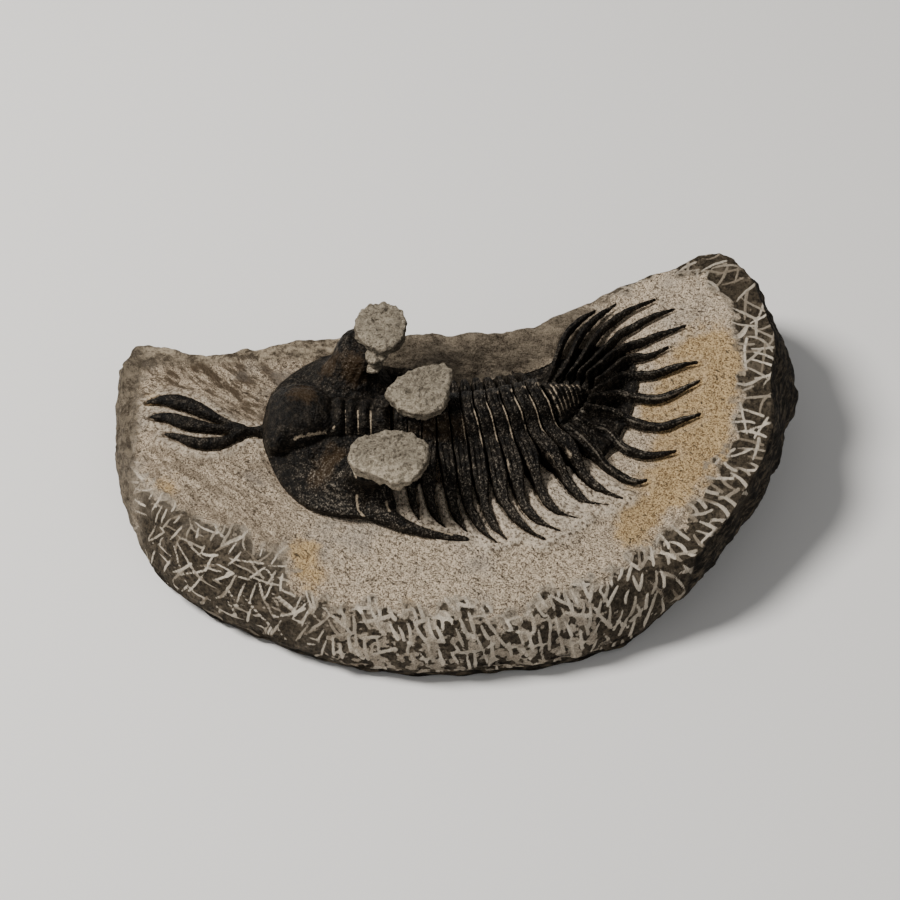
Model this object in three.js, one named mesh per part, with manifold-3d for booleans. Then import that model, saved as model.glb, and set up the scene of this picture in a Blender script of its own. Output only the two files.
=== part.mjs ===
// A spiny Devonian trilobite lying on the half-moon slab of matrix that it was prepared from.
// Millimetres, +Z up, the slab's flat underside on Z = 0. +X runs from the head to the tail.
//
// Places on the animal are given along its midline: s runs back from where the midline starts
// to bend, and l runs sideways, negative on the near side (-Y) and positive on the far side.

import * as THREE from 'three';
import { mergeVertices } from 'three/addons/utils/BufferGeometryUtils.js';
import Module from 'manifold-3d';

const wasm = await Module();
wasm.setup();

// Slab
const GROUND = 14;            // height of the prepared surface under the animal
const GAP = 0.3;              // clearance between the loose solids
const SLIVER = 0.05;          // joined solids lose the faces that are thinner than this
const SLAB_CENTRE = [7, 2];   // the slab's rings are drawn round this point
const SLAB_SIDES = 84;
const CHIP = 0.45;            // how far the broken edge wanders in and out
const UNDERCUT = 4.2;         // how far the right end's wall runs back in below its widest line
const SLAB_OUTLINE = [        // widest line of the slab, seen from above
  [-54.2, 13.5], [-54.1, 7], [-53, -1.5], [-51, -9], [-47.3, -16.8], [-38, -25], [-28, -30.1],
  [-18, -33.9], [-8, -35.6], [-1, -35.8], [8, -35], [15, -34], [23.2, -31.2], [30, -28.2],
  [35.5, -24.6], [39.6, -20.2], [44, -13.6], [49.5, -4.4], [52, 4.4], [54.3, 12.4], [53, 19.6],
  [51, 26.2], [48, 32.4], [42.2, 36.2], [36, 34.4], [28.8, 30.7], [22.2, 27.2], [15.8, 24.2],
  [9, 21.9], [0, 21], [-12, 20.8], [-23, 20], [-34, 18], [-43, 17.6], [-49, 19.4], [-52.4, 19.8],
  [-54, 17.4],
];

// Midline
const BEND = 51;              // radius of the body's bend towards the far side
const BEND_X = -5;
const AXIS_Y = -0.6;

// Thorax
const SEGMENTS = 11;
const PITCH = 2.16;           // length of one segment along the midline
const THORAX_START = -4.4;
const LOBE = 4.6;             // half width of the axial lobe
const TIP_SWEEP = 0.5;        // how much further back each spine tip is swept than the last
const RIDGE = 0.45;           // depth of the groove across a segment
const BLADE_STEPS = 6;        // cross-sections along a spine
const PROUD = 0.25;           // how far spines and lobes stay above the underside they join
const NEAR_SECTION = [        // [l, height above GROUND] from the crest to the spine's tip
  [0, 9.4], [-2.4, 8.7], [-4.5, 5.6], [-7.8, 5.2], [-10.8, 3.9], [-13.2, 2.2], [-16.8, 1.7],
  [-20, 0.9],
];
const FAR_SECTION = [
  [0, 9.4], [2.4, 8.7], [4.5, 5.6], [7, 5.2], [8.6, 4.2], [10.2, 1.2], [12.2, -2], [14, -4.8],
];
const FAR_TAIL_SECTION = [    // the far side opens out towards the tail
  [0, 9.4], [2.4, 8.7], [4.6, 5.6], [7.4, 5], [9.4, 4], [11.2, 2], [12.8, 0.6], [14.6, -0.6],
];

// Pygidium: the inner end, root and tip of each rib, as [x, y], front to back
const NEAR_RIBS = [
  [[17.3, -1.3], [22.3, -6.0], [28.9, -8.9]], [[18.6, 0.6], [24.4, -2.6], [33.4, -4.2]],
  [[19.6, 2.3], [25.9, 0.7], [37.3, 1.3]], [[20.4, 3.7], [27.3, 4.4], [37.7, 6.9]],
  [[21.2, 4.9], [28.3, 8.2], [37.4, 10.5]],
];
const FAR_RIBS = [
  [[13.4, 7.9], [17.0, 15.0], [22.0, 22.2]], [[15.4, 8.3], [19.2, 15.9], [25.3, 23.8]],
  [[17.2, 8.6], [21.8, 16.2], [31.6, 23.5]], [[18.9, 8.6], [24.5, 15.9], [34.3, 21.1]],
  [[20.3, 8.3], [26.6, 14.7], [35.7, 17.9]],
];
const MEDIAN_RIB = [[21.6, 7.0], [27.9, 12.3], [32.6, 14.2]];
const TAIL_CENTRE = [20.4, 5.2];
const AXIS_END = 27;          // s where the pygidium's axis ends

// Cephalon
const HEAD_CENTRE = [-17.5, -0.6];
const HEAD_OUTLINE = [
  [-29.9, -0.4], [-29.3, 4.6], [-28, 8.8], [-25.4, 11.8], [-21.8, 14.4], [-17.3, 15.5],
  [-13, 14.6], [-10, 11.6], [-9.75, 5], [-9.75, -5], [-9.75, -10.5], [-9, -13.6],
  [-9.4, -17], [-13.7, -16.4], [-18.1, -15.9], [-22.5, -14.3], [-25.4, -11.7], [-28.1, -7],
];
const HEAD_REAR = -9.75;
const CHEEK = 6.4;            // height of the head shield beside the glabella
const GLABELLA_BASE = 18.5;   // height of the furrows beside the glabella
const GLABELLA_ARCH = [       // [part of the half width, part of the height] across it
  [-1, 0], [-0.86, 0.5], [-0.55, 0.86], [0, 1], [0.55, 0.86], [0.86, 0.5], [1, 0],
];
const GLABELLA = [            // [x, half width, crest above GROUND] from front to back
  [-29.4, 2.2, 3.2], [-28.9, 4.2, 5.4], [-27.6, 5.7, 7.4], [-25.4, 6.6, 8.8], [-22.8, 6.4, 9.3],
  [-20.6, 5.2, 9.1], [-19.3, 4, 8.4], [-18.9, 3.7, 7.9], [-17.9, 3.6, 8.9], [-16.9, 3.4, 8.6],
  [-16.6, 3.2, 7.9], [-15.6, 3.3, 8.8], [-14.6, 3.2, 8.4], [-14.3, 3.1, 7.8], [-13.3, 3.3, 8.7],
  [-12.4, 3.3, 8.4], [-12.1, 3.3, 7.7], [-11.2, 3.8, 8.9], [-10.1, 3.9, 8.8], [-9.9, 3.8, 7.8],
];
const OCCIPITAL_SPINE = [[-11.4, 1.4, 21], [-11.2, 1.15, 22.6], [-10.9, 0.9, 23.6]];
const EYE_SIDES = 14;
const EYE = { x: -16, l: 9.2, along: 5.6, across: 4.1, rise: 3.4 };
const EYE_TOP = { x: -13.5, l: 12.3, along: 3.9, across: 3.7, rise: 9.6 };

// Matrix left standing on the eyes and over the occipital spine
const PAD_TOP = 27;
const PAD_THICK = 3.1;
const NEAR_PAD = [
  [-16, -12.4], [-14.7, -9.7], [-11.4, -8.4], [-7, -8.4], [-4.4, -10.5], [-4.1, -13.6],
  [-6.2, -16.7], [-8.6, -18.1], [-12.2, -16.3], [-15.4, -14.8],
];
const FAR_PAD = [
  [-15.5, 13], [-14.9, 15.1], [-13, 16.7], [-10.7, 17], [-8.6, 15.7], [-7.6, 12.8],
  [-8.6, 9.2], [-10.7, 7.6], [-13.3, 8.6], [-15.2, 10.7],
];
const MIDDLE_PAD = [
  [-10.4, -1.2], [-9.8, 0.6], [-7.8, 2.8], [-4.6, 4.3], [-2, 4.7], [-0.8, 3.6], [-0.9, 0.2],
  [-2, -3.6], [-4.6, -4.8], [-8, -4],
];

const stone = (color) => new THREE.MeshStandardMaterial({ color, roughness: 0.95, metalness: 0 });
const shell = (color) => new THREE.MeshStandardMaterial({ color, roughness: 0.5, metalness: 0 });

// Plain mathematics

const mix = (a, b, t) => a + (b - a) * t;

function ease(from, to, value) {
  const t = THREE.MathUtils.clamp((value - from) / (to - from), 0, 1);
  return t * t * (3 - 2 * t);
}

// The prepared surface: level under the body, rising under the tail, with a trough dug along
// the far side of the thorax and a raised rim behind it.
function ground(x, y) {
  const rise = 8 * ease(18, 56, 0.9 * x + 0.45 * y);
  const trough = 6 * ease(0, 12.5, y) * (1 - ease(13.5, 18.5, y)) * besideThorax(x);
  const rim = 1.6 * ease(13, 19, y) * (1 - ease(14, 30, x));
  const leftEdge = 2 * ease(-42, -54, x);
  return GROUND + rise - trough + rim - leftEdge;
}

function besideThorax(x) {
  return ease(-17, -6, x) * (1 - ease(8, 21, x));
}

// The lowest that the animal reaches: just clear of the slab, and a little more over the
// trough, where the slab's faces are coarse for its curve.
function floor(x, y) {
  const overTrough = ease(-20, -12, x) * (1 - ease(20, 27, x)) * ease(1, 5, y);
  return ground(x, y) + GAP + 0.4 * overTrough;
}

// A point of the animal in plan, from its distance s along the midline and l across it.
function place(s, l) {
  const angle = Math.max(s, 0) / BEND;
  const x = BEND_X + Math.min(s, 0) + BEND * Math.sin(angle) - l * Math.sin(angle);
  const y = AXIS_Y + BEND * (1 - Math.cos(angle)) + l * Math.cos(angle);
  return [x, y];
}

function smoothLoop(points, count) {
  const curve = new THREE.CatmullRomCurve3(
    points.map(([x, y]) => new THREE.Vector3(x, y, 0)), true, 'centripetal');
  return curve.getSpacedPoints(count).slice(0, count).map((p) => [p.x, p.y]);
}

// Closed solids

// Joins rings of points into a skin, closed at both ends by a fan from the ring's middle.
function loft(rings) {
  const sides = rings[0].length;
  const positions = rings.flat(2);
  const faces = [];
  for (let r = 0; r + 1 < rings.length; r += 1) {
    for (let i = 0; i < sides; i += 1) {
      const [a, b] = [r * sides + i, r * sides + (i + 1) % sides];
      faces.push(a, b, b + sides, a, b + sides, a + sides);
    }
  }
  closeRing(positions, faces, rings[0], 0, true);
  closeRing(positions, faces, rings.at(-1), (rings.length - 1) * sides, false);
  const geometry = new THREE.BufferGeometry();
  geometry.setAttribute('position', new THREE.Float32BufferAttribute(positions, 3));
  geometry.setIndex(faces);
  return facingOut(geometry);
}

function closeRing(positions, faces, ring, first, reversed) {
  const sides = ring.length;
  const middle = positions.length / 3;
  for (const axis of [0, 1, 2]) {
    positions.push(ring.reduce((sum, point) => sum + point[axis], 0) / sides);
  }
  for (let i = 0; i < sides; i += 1) {
    const [a, b] = [first + i, first + (i + 1) % sides];
    faces.push(...(reversed ? [b, a, middle] : [a, b, middle]));
  }
}

function facingOut(geometry) {
  const p = geometry.attributes.position;
  const index = geometry.index.array;
  const corners = [new THREE.Vector3(), new THREE.Vector3(), new THREE.Vector3()];
  let volume = 0;
  for (let i = 0; i < index.length; i += 3) {
    corners.forEach((corner, k) => corner.fromBufferAttribute(p, index[i + k]));
    volume += corners[0].dot(corners[1].clone().cross(corners[2]));
  }
  if (volume < 0) {
    for (let i = 0; i < index.length; i += 3) {
      [index[i], index[i + 1]] = [index[i + 1], index[i]];
    }
  }
  return geometry;
}

function toManifold(geometry) {
  const merged = geometry.clone();
  merged.deleteAttribute('normal');
  merged.deleteAttribute('uv');
  const welded = mergeVertices(merged, 1e-4);
  return new wasm.Manifold(new wasm.Mesh({
    numProp: 3,
    vertProperties: new Float32Array(welded.attributes.position.array),
    triVerts: new Uint32Array(welded.index.array),
  }));
}

function join(geometries) {
  const whole = geometries.map(toManifold).reduce((a, b) => a.add(b)).simplify(SLIVER);
  const mesh = whole.getMesh();
  const geometry = new THREE.BufferGeometry();
  geometry.setAttribute('position', new THREE.Float32BufferAttribute(mesh.vertProperties, 3));
  geometry.setIndex(Array.from(mesh.triVerts));
  return geometry;
}

// A solid that stands on the slab: its outline shrinks to the centre in rings, each ring at
// the height that cover(x, y, e) gives above the ground, e being 0 in the middle and 1 outside.
function standing(centre, outline, fractions, cover) {
  const ringAt = (e, height) => outline.map(([ox, oy]) => {
    const x = mix(centre[0], ox, e);
    const y = mix(centre[1], oy, e);
    return [x, y, height(x, y, e)];
  });
  const top = (x, y, e) => floor(x, y) + Math.max(cover(x, y, e), GAP);
  const under = fractions.filter((e, i) => i % 2 === 0 || e === 1);
  return loft([
    ...under.map((e) => ringAt(e, floor)),
    ...[...fractions].reverse().map((e) => ringAt(e, top)),
  ]);
}

// A tapering blade along a plan curve, such as a spine: stations are [x, y, width, height].
// It lies on the slab.
function blade(stations) {
  const curve = new THREE.CatmullRomCurve3(
    stations.map(([x, y]) => new THREE.Vector3(x, y, 0)), false, 'centripetal');
  const spans = stations.length - 1;
  const rings = [];
  for (let i = 0; i <= BLADE_STEPS; i += 1) {
    const t = i / BLADE_STEPS;
    const point = curve.getPoint(t);
    const tangent = curve.getTangent(t);
    const k = Math.min(Math.floor(t * spans), spans - 1);
    const within = t * spans - k;
    const width = mix(stations[k][2], stations[k + 1][2], within);
    const height = mix(stations[k][3], stations[k + 1][3], within);
    const across = [-tangent.y * width / 2, tangent.x * width / 2];
    const base = floor(point.x, point.y) + PROUD;
    const ring = [[-1, 0], [-1, 0.55], [-0.4, 1], [0.4, 1], [1, 0.5], [1, 0]];
    rings.push(ring.map(([side, up]) => {
      const x = point.x + side * across[0];
      const y = point.y + side * across[1];
      return [x, y, Math.max(base + up * height, floor(x, y) + PROUD + up * 0.2)];
    }));
  }
  return loft(rings);
}

// The slab

// How far in from the widest line the edge starts to fall, the height of that line, and how
// sharp the break is: the front rounds down, the right end is a broken wall.
function edgeStyle(x, y) {
  const front = 1 - ease(-20, 8, y);
  const right = ease(24, 38, x);
  const left = ease(-36, -50, x) * (1 - front);
  const wall = mix(1.4, 4.4, ease(-8, 8, y));
  return {
    round: mix(mix(mix(1.6, 6.8, front), 3.2, left), wall, right),
    line: mix(mix(mix(9, 3, front), 6, left), 9, right),
    sharp: right,
    undercut: UNDERCUT * right * (1 - 0.5 * ease(20, 34, y)),
  };
}

function slabTop(x, y, inward, style) {
  const surface = ground(x, y);
  if (inward >= style.round) return surface;
  const outward = 1 - inward / style.round;
  const fall = mix(Math.sqrt(1 - outward * outward), (1 - outward) ** 0.6, style.sharp);
  return mix(style.line, surface, fall);
}

// The unevenness of the broken edge, between -1 and 1, at each corner of the outline.
function broken(corner) {
  return 0.45 * Math.sin(corner * 2.4) + 0.35 * Math.sin(corner * 1.1 + 2)
    + 0.2 * Math.sin(corner * 3.7 + 1);
}

function slab() {
  const outline = smoothLoop(SLAB_OUTLINE, SLAB_SIDES);
  const [cx, cy] = SLAB_CENTRE;
  // inset and wander are in millimetres along the line to the centre.
  const ring = (scale, height, wander = 0, inset = 0) => outline.map(([ox, oy], corner) => {
    const shift = wander * CHIP * broken(corner) - inset * edgeStyle(ox, oy).undercut;
    const reach = scale + shift / Math.hypot(ox - cx, oy - cy);
    const x = mix(cx, ox, reach);
    const y = mix(cy, oy, reach);
    return [x, y, height(x, y, ox, oy, corner)];
  });
  const top = (x, y, ox, oy) => slabTop(x, y, Math.hypot(ox - x, oy - y), edgeStyle(ox, oy));
  const side = (part) => (x, y, ox, oy, corner) => (
    edgeStyle(ox, oy).line * (part + 0.1 * broken(corner + 7)));
  const outer = [0.905, 0.938, 0.965, 0.986];
  const inner = [0.09, 0.17, 0.25, 0.33, 0.41, 0.49, 0.57, 0.65, 0.73, 0.8, 0.86];
  return loft([
    ring(0.5, () => 0),
    ring(0.965, () => 0, 1, 1),
    ring(0.985, side(0.35), -1, 0.7),
    ring(0.99, side(0.7), 1, 0.25),
    ring(1, side(1), 0.6),
    ...outer.reverse().map((e) => ring(e, top, e > 0.95 ? 0.5 : 0)),
    ...inner.reverse().map((e) => ring(e, top)),
  ]);
}

// Thoracic segments

function sectionAt(far, number, k) {
  if (!far) return NEAR_SECTION[k];
  const t = ease(6, 10, number);
  const [a, b] = [FAR_SECTION[k], FAR_TAIL_SECTION[k]];
  return [mix(a[0], b[0], t), mix(a[1], b[1], t)];
}

// The near spines are longest in the middle of the thorax, and the first ends at the cheek.
function reach(number, far) {
  if (number === 0) return far ? 0.85 : 0.62;
  return far ? 1 : (20.3 - 0.19 * (number - 6) ** 2) / 20;
}

// One cross-section of a segment. k counts outwards from the crest.
function segmentRing(number, far, k) {
  const [l0, height] = sectionAt(far, number, k);
  const shrink = mix(1, reach(number, far), k / (NEAR_SECTION.length - 1));
  const l = l0 * shrink;
  const outward = Math.max(Math.abs(l) - LOBE, 0) / 15;
  const sweep = (far ? 0.35 : 1) * TIP_SWEEP * number * outward ** 1.6;
  const spine = ease(11, 20, Math.abs(l0) + (far ? 5 : 0));
  const room = PITCH - GAP;
  const width = room * mix(1, k === NEAR_SECTION.length - 1 ? 0.1 : 0.62, spine);
  const front = THORAX_START + PITCH * number + sweep + (room - width) / 2;
  const groove = k === 0 ? 0 : RIDGE * (1 - 0.6 * spine);
  const across = [[0, 0], [0, -0.45], [0.28, 0], [0.55, -groove], [0.85, 0], [1, -0.6], [1, 0]];
  return across.map(([t, drop], corner) => {
    const [x, y] = place(front + t * width, l);
    const low = floor(x, y);
    if (corner === 0 || corner === across.length - 1) return [x, y, low];
    return [x, y, Math.max(GROUND + height + drop, low + 0.25 - drop * 0.1)];
  });
}

function thoracicSegment(number) {
  const last = NEAR_SECTION.length - 1;
  const rings = [];
  for (let k = last; k > 0; k -= 1) rings.push(segmentRing(number, false, k));
  for (let k = 0; k <= last; k += 1) rings.push(segmentRing(number, true, k));
  return loft(rings);
}

// Pygidium

function tailOutline() {
  const start = THORAX_START + PITCH * SEGMENTS;
  const front = [11, 7, 3, -1, -5, -9].map((l) => {
    const outward = Math.max(Math.abs(l) - LOBE, 0) / 15;
    return place(start + GAP + (l < 0 ? 1 : 0.35) * TIP_SWEEP * SEGMENTS * outward ** 1.6, l);
  });
  const roots = (ribs) => ribs.map((rib) => rib[1]);
  return [...front, ...roots(NEAR_RIBS), MEDIAN_RIB[1], ...roots(FAR_RIBS).reverse()];
}

function rib([inner, root, tip], width = 2.5) {
  const middle = [mix(inner[0], root[0], 0.5), mix(inner[1], root[1], 0.5)];
  const neck = [mix(root[0], tip[0], 0.45), mix(root[1], tip[1], 0.45)];
  return blade([
    [...inner, width * 0.72, 5.2], [...middle, width, 4.6], [...root, width * 0.86, 2.5],
    [...neck, width * 0.78, 2], [...tip, 0.3, 0.7],
  ]);
}

function tailAxis() {
  const start = THORAX_START + PITCH * SEGMENTS + 2 * GAP;
  const rings = [];
  const steps = 5;
  for (let i = 0; i <= steps; i += 1) {
    const t = i / steps;
    const half = mix(LOBE, 1.1, t ** 1.2);
    const crest = mix(9.2, 3.4, t ** 1.4);
    for (const [shift, drop] of i < steps ? [[0, 0], [0.8, 0.45]] : [[0, 0]]) {
      const s = mix(start, AXIS_END, t) + shift;
      const over = [-0.95, -0.45, 0.45, 0.95].map((side) => {
        const [x, y] = place(s, side * half);
        return [x, y, floor(x, y) + crest * Math.sqrt(1 - side * side * 0.75) - drop];
      });
      const under = [1, 0, -1].map((side) => {
        const [x, y] = place(s, side * half);
        return [x, y, floor(x, y) + 2 * PROUD];
      });
      rings.push([...over, ...under]);
    }
  }
  return loft(rings);
}

function pygidium() {
  const shield = standing(TAIL_CENTRE, tailOutline(), [0.35, 0.6, 0.8, 0.93, 1],
    (x, y, e) => 1.3 + 3.3 * (1 - e * e));
  const ribs = [...NEAR_RIBS, ...FAR_RIBS].map((points) => rib(points));
  return join([shield, tailAxis(), ...ribs, rib(MEDIAN_RIB, 1.7)]);
}

// Cephalon

function headShield() {
  const outline = smoothLoop(HEAD_OUTLINE, 30);
  return standing(HEAD_CENTRE, outline, [0.35, 0.65, 0.85, 0.96, 1], (x, y, e) => {
    const fullHeight = GROUND + CHEEK - floor(x, y);
    const arch = 1 - 0.012 * (y - AXIS_Y) ** 2;
    return mix(1.2, fullHeight * arch, Math.sqrt(1 - e ** 2.6));
  });
}

// The raised middle of the head: a pear-shaped lobe in front, then rings with furrows between.
function glabella() {
  const rings = GLABELLA.map(([x, half, crest]) => {
    const over = GLABELLA_ARCH.map(([side, up]) => {
      const y = AXIS_Y + side * half;
      return [x, y, Math.max(mix(GLABELLA_BASE, GROUND + crest, up), floor(x, y) + 2 * PROUD)];
    });
    const under = [0.9, 0, -0.9].map((side) => {
      const y = AXIS_Y + side * half;
      return [x, y, floor(x, y) + PROUD];
    });
    return [...over, ...under];
  });
  return loft(rings);
}

// A stout spine on the head's last ring, which holds up the matrix above it.
function occipitalSpine() {
  return loft(OCCIPITAL_SPINE.map(([x, radius, z]) => (
    Array.from({ length: 8 }, (_, i) => {
      const angle = (i / 8) * 2 * Math.PI;
      return [x + radius * Math.cos(angle), AXIS_Y + radius * Math.sin(angle), z];
    }))));
}

// An eye stands up and leans outwards from the cheek. side is -1 near and 1 far.
function eye(side) {
  const rings = [0, 0.3, 0.65, 1].map((t) => {
    const waist = 1 - 0.35 * Math.sin(Math.PI * t) * (1 - t);
    const z = GROUND + mix(EYE.rise, EYE_TOP.rise, t);
    return Array.from({ length: EYE_SIDES }, (_, i) => {
      const angle = (i / EYE_SIDES) * 2 * Math.PI;
      const x = mix(EYE.x, EYE_TOP.x, t) + mix(EYE.along, EYE_TOP.along, t) * waist * Math.cos(angle);
      const l = mix(EYE.l, EYE_TOP.l, t) + mix(EYE.across, EYE_TOP.across, t) * waist * Math.sin(angle);
      const overThorax = ease(0.4, 0.9, t) * 4;
      return [Math.min(x, HEAD_REAR + overThorax), AXIS_Y + side * l, z];
    });
  });
  return loft(rings);
}

function genalSpine(side) {
  const near = [
    [-11.6, -15, 4.4, 2.6], [-8.4, -16.7, 3.4, 2.3], [-4.8, -18.7, 2.3, 1.9],
    [-0.6, -19.8, 1.4, 1.4], [1.9, -20.1, 0.3, 0.6],
  ];
  const far = [[-12.6, 13.4, 4, 2.6], [-9.6, 14.5, 2.4, 2], [-6, 15, 1.7, 1.6], [-1.5, 15.3, 0.3, 0.6]];
  return blade(side < 0 ? near : far);
}

// The three-pronged fork that the front of the head carries.
function trident() {
  const stem = [-33, -0.5];
  const far = [[...stem, 1.7, 2], [-36.6, 2, 2.2, 2.1], [-40.8, 5, 2.8, 2], [-44.4, 6.2, 2.4, 1.6],
    [-48, 6.5, 0.4, 0.7]];
  const middle = [[...stem, 1.4, 2], [-36.6, 0.7, 2.2, 2], [-40.4, 1.3, 2.9, 2],
    [-44.2, 2.7, 2.4, 1.6], [-47.3, 3.7, 0.4, 0.7]];
  const near = [[...stem, 1.6, 2], [-35.6, -2.6, 2.2, 2.1], [-38.9, -3, 2.5, 2],
    [-42.2, -1.6, 2, 1.5], [-44.8, 0.3, 0.4, 0.7]];
  const stalk = [[...stem, 2.2, 2.1], [-31.4, -0.4, 1.8, 2.1], [-28.6, -0.6, 2.4, 2.4]];
  return [far, middle, near, stalk].map((stations) => blade(stations));
}

function cephalon() {
  return join([
    headShield(), glabella(), occipitalSpine(), eye(-1), eye(1), genalSpine(-1), genalSpine(1),
    ...trident(),
  ]);
}

// Matrix pads

function pad(outline) {
  const points = smoothLoop(outline, 16);
  const x = points.reduce((sum, p) => sum + p[0], 0) / points.length;
  const y = points.reduce((sum, p) => sum + p[1], 0) / points.length;
  const ring = (scale, z) => points.map(([px, py]) => [mix(x, px, scale), mix(y, py, scale), z]);
  const bottom = PAD_TOP - PAD_THICK;
  return loft([
    ring(0.86, bottom), ring(0.97, bottom + 1), ring(1, PAD_TOP - 0.9), ring(0.94, PAD_TOP),
  ]);
}

// The specimen

const specimen = new THREE.Group();

function addPiece(name, geometry, material) {
  geometry.computeVertexNormals();
  const mesh = new THREE.Mesh(geometry, material);
  mesh.name = name;
  specimen.add(mesh);
}

addPiece('matrix_slab', slab(), stone(0xb9ad9a));
addPiece('cephalon', cephalon(), shell(0x2b2825));
for (let number = 0; number < SEGMENTS; number += 1) {
  const name = `thoracic_segment_${String(number + 1).padStart(2, '0')}`;
  addPiece(name, thoracicSegment(number), shell(0x292724));
}
addPiece('pygidium', pygidium(), shell(0x2b2926));
addPiece('matrix_on_near_eye', pad(NEAR_PAD), stone(0xc2b8a6));
addPiece('matrix_on_far_eye', pad(FAR_PAD), stone(0xc2b8a6));
addPiece('matrix_on_occipital_spine', pad(MIDDLE_PAD), stone(0xc2b8a6));

export default specimen;
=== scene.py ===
"""A spiny trilobite with a head fork, on the half-moon slab of stone it was prepared from."""

import math

import bpy
import numpy as np
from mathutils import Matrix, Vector


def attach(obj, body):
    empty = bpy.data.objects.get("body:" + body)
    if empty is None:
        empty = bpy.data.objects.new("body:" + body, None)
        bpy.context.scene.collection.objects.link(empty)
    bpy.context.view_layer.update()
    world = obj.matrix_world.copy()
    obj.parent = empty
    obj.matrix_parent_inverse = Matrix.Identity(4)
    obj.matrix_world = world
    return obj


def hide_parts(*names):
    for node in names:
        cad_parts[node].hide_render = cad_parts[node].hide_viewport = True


bl_info = {
    "name": "Prepared Trilobite",
    "version": (1, 0, 0),
    "blender": (4, 5, 0),
    "location": "View3D > Sidebar > Trilobite",
    "description": "Models a spiny trilobite, the stone it lies on and the stone left on its eyes",
    "category": "Object",
}

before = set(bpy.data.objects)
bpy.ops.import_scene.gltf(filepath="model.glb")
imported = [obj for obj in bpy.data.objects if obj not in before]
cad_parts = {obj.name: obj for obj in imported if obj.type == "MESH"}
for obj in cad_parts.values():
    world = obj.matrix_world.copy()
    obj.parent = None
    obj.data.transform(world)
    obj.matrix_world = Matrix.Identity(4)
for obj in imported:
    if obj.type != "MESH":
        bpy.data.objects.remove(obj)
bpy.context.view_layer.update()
MM = 0.001
SEED = 11
NOTHING_NEAR = 9.0

# The camera looks towards +Y, at this many degrees up from straight down. The scribe's
# strokes are laid as it sees them

CAMERA_PLACE = (-0.0009, -0.2627, 0.3473)
CAMERA_TILT = 38

# Ground, in millimetres. GAP keeps the animal off the stone, as in the CAD parts, and PROUD
# lifts the edges of what lies on it. CHIP and UNDERCUT are how far the broken wall stands out
# and goes in

GROUND = 14.0
GAP = 0.3
PROUD = 0.25
SLAB_CENTRE = (7.0, 2.0)
CHIP = 0.45
UNDERCUT = 4.2
OUTLINE_CORNERS = 84
SLAB_OUTLINE = [
    (-54.2, 13.5), (-54.1, 7), (-53, -1.5), (-51, -9), (-47.3, -16.8), (-38, -25), (-28, -30.1),
    (-18, -33.9), (-8, -35.6), (-1, -35.8), (8, -35), (15, -34), (23.2, -31.2), (30, -28.2),
    (35.5, -24.6), (39.6, -20.2), (44, -13.6), (49.5, -4.4), (52, 4.4), (54.3, 12.4), (53, 19.6),
    (51, 26.2), (48, 32.4), (42.2, 36.2), (36, 34.4), (28.8, 30.7), (22.2, 27.2), (15.8, 24.2),
    (9, 21.9), (0, 21), (-12, 20.8), (-23, 20), (-34, 18), (-43, 17.6), (-49, 19.4),
    (-52.4, 19.8), (-54, 17.4),
]

# The midline runs straight along AXIS_Y up to BEND_X, then round an arc of radius BEND

BEND = 51.0
BEND_X = -5.0
AXIS_Y = -0.6

# Stone: where the smooth dish ends, where the right end breaks off, and rusty patches of the
# dish as x, y and radius

DISH_EDGE = [
    (-48, -7.7), (-45, -10.5), (-38.6, -14.9), (-34, -17.2), (-30.3, -18.7), (-27.5, -21),
    (-25.2, -23.5), (-24, -26.5), (-21, -29.4), (-17.4, -30.4), (-12.7, -30), (-6.8, -31.1),
    (-2.4, -30.7), (1.5, -29.7), (7, -31.8), (10.6, -30.7), (13.6, -28.4), (19.9, -26.8),
    (22.9, -25.3), (25.7, -22.8), (29.3, -20.9), (32.2, -17.3), (34.6, -14.3),
    (36.5, -11), (39.3, -8), (41.8, -2.8), (43, 1.8), (43.9, 7.8), (43.4, 13), (43.3, 20),
    (41.6, 23.2), (38.7, 26.5), (34.9, 28.8), (31, 28.8), (24, 25), (14, 20), (0, 17),
    (-20, 17.5), (-36, 15.5), (-46, 15), (-50, 12), (-50.5, 3),
]
RIM_LINE = [
    (36, 35), (41.3, 32.1), (45.8, 27.3), (48.8, 19), (49.4, 15.4), (48.3, 6.1), (47.5, -1.8),
    (46, -7.6), (44.3, -11.6), (41.9, -15.1), (38.9, -17.5), (36.5, -20.7), (34.5, -25),
    (31.9, -30.4),
]
TAN_PATCHES = [
    (37, 2, 6), (35, 9, 4.5), (39, 14, 5), (36, -5, 6), (31, -11, 5), (26.5, -17, 4), (41, 8, 4),
    (31, 4, 3), (-47.5, 8, 2), (-22, -26, 3.4), (-23, -21, 2.6), (-7, -31, 1.5), (-43.5, -9, 2.6),
]


def mix(a, b, t):
    """From a at t = 0 to b at t = 1."""
    return a + (b - a) * t


def ease(start, end, value):
    """From 0 at start to 1 at end, smooth between and level beyond."""
    t = np.clip((value - start) / (end - start), 0, 1)
    return t * t * (3 - 2 * t)


def hump(value, middle, width):
    """1 at the middle, fading out on both sides."""
    return np.exp(-(((value - middle) / width) ** 2))


def spot(x, y, px, py, size):
    """1 at a point in plan, fading out round it."""
    return hump(np.hypot(x - px, y - py), 0, size)


def beside_thorax(x):
    """1 along the stretch where the stone is dug away beside the thorax."""
    return ease(-17, -6, x) * (1 - ease(8, 21, x))


def ground(x, y):
    """Height of the prepared stone: level under the body, dug away beside the thorax."""
    rise = 8 * ease(18, 56, 0.9 * x + 0.45 * y)
    trough = 6 * ease(0, 12.5, y) * (1 - ease(13.5, 18.5, y)) * beside_thorax(x)
    rim = 1.6 * ease(13, 19, y) * (1 - ease(14, 30, x))
    left_edge = 2 * ease(-42, -54, x)
    return GROUND + rise - trough + rim - left_edge


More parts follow.
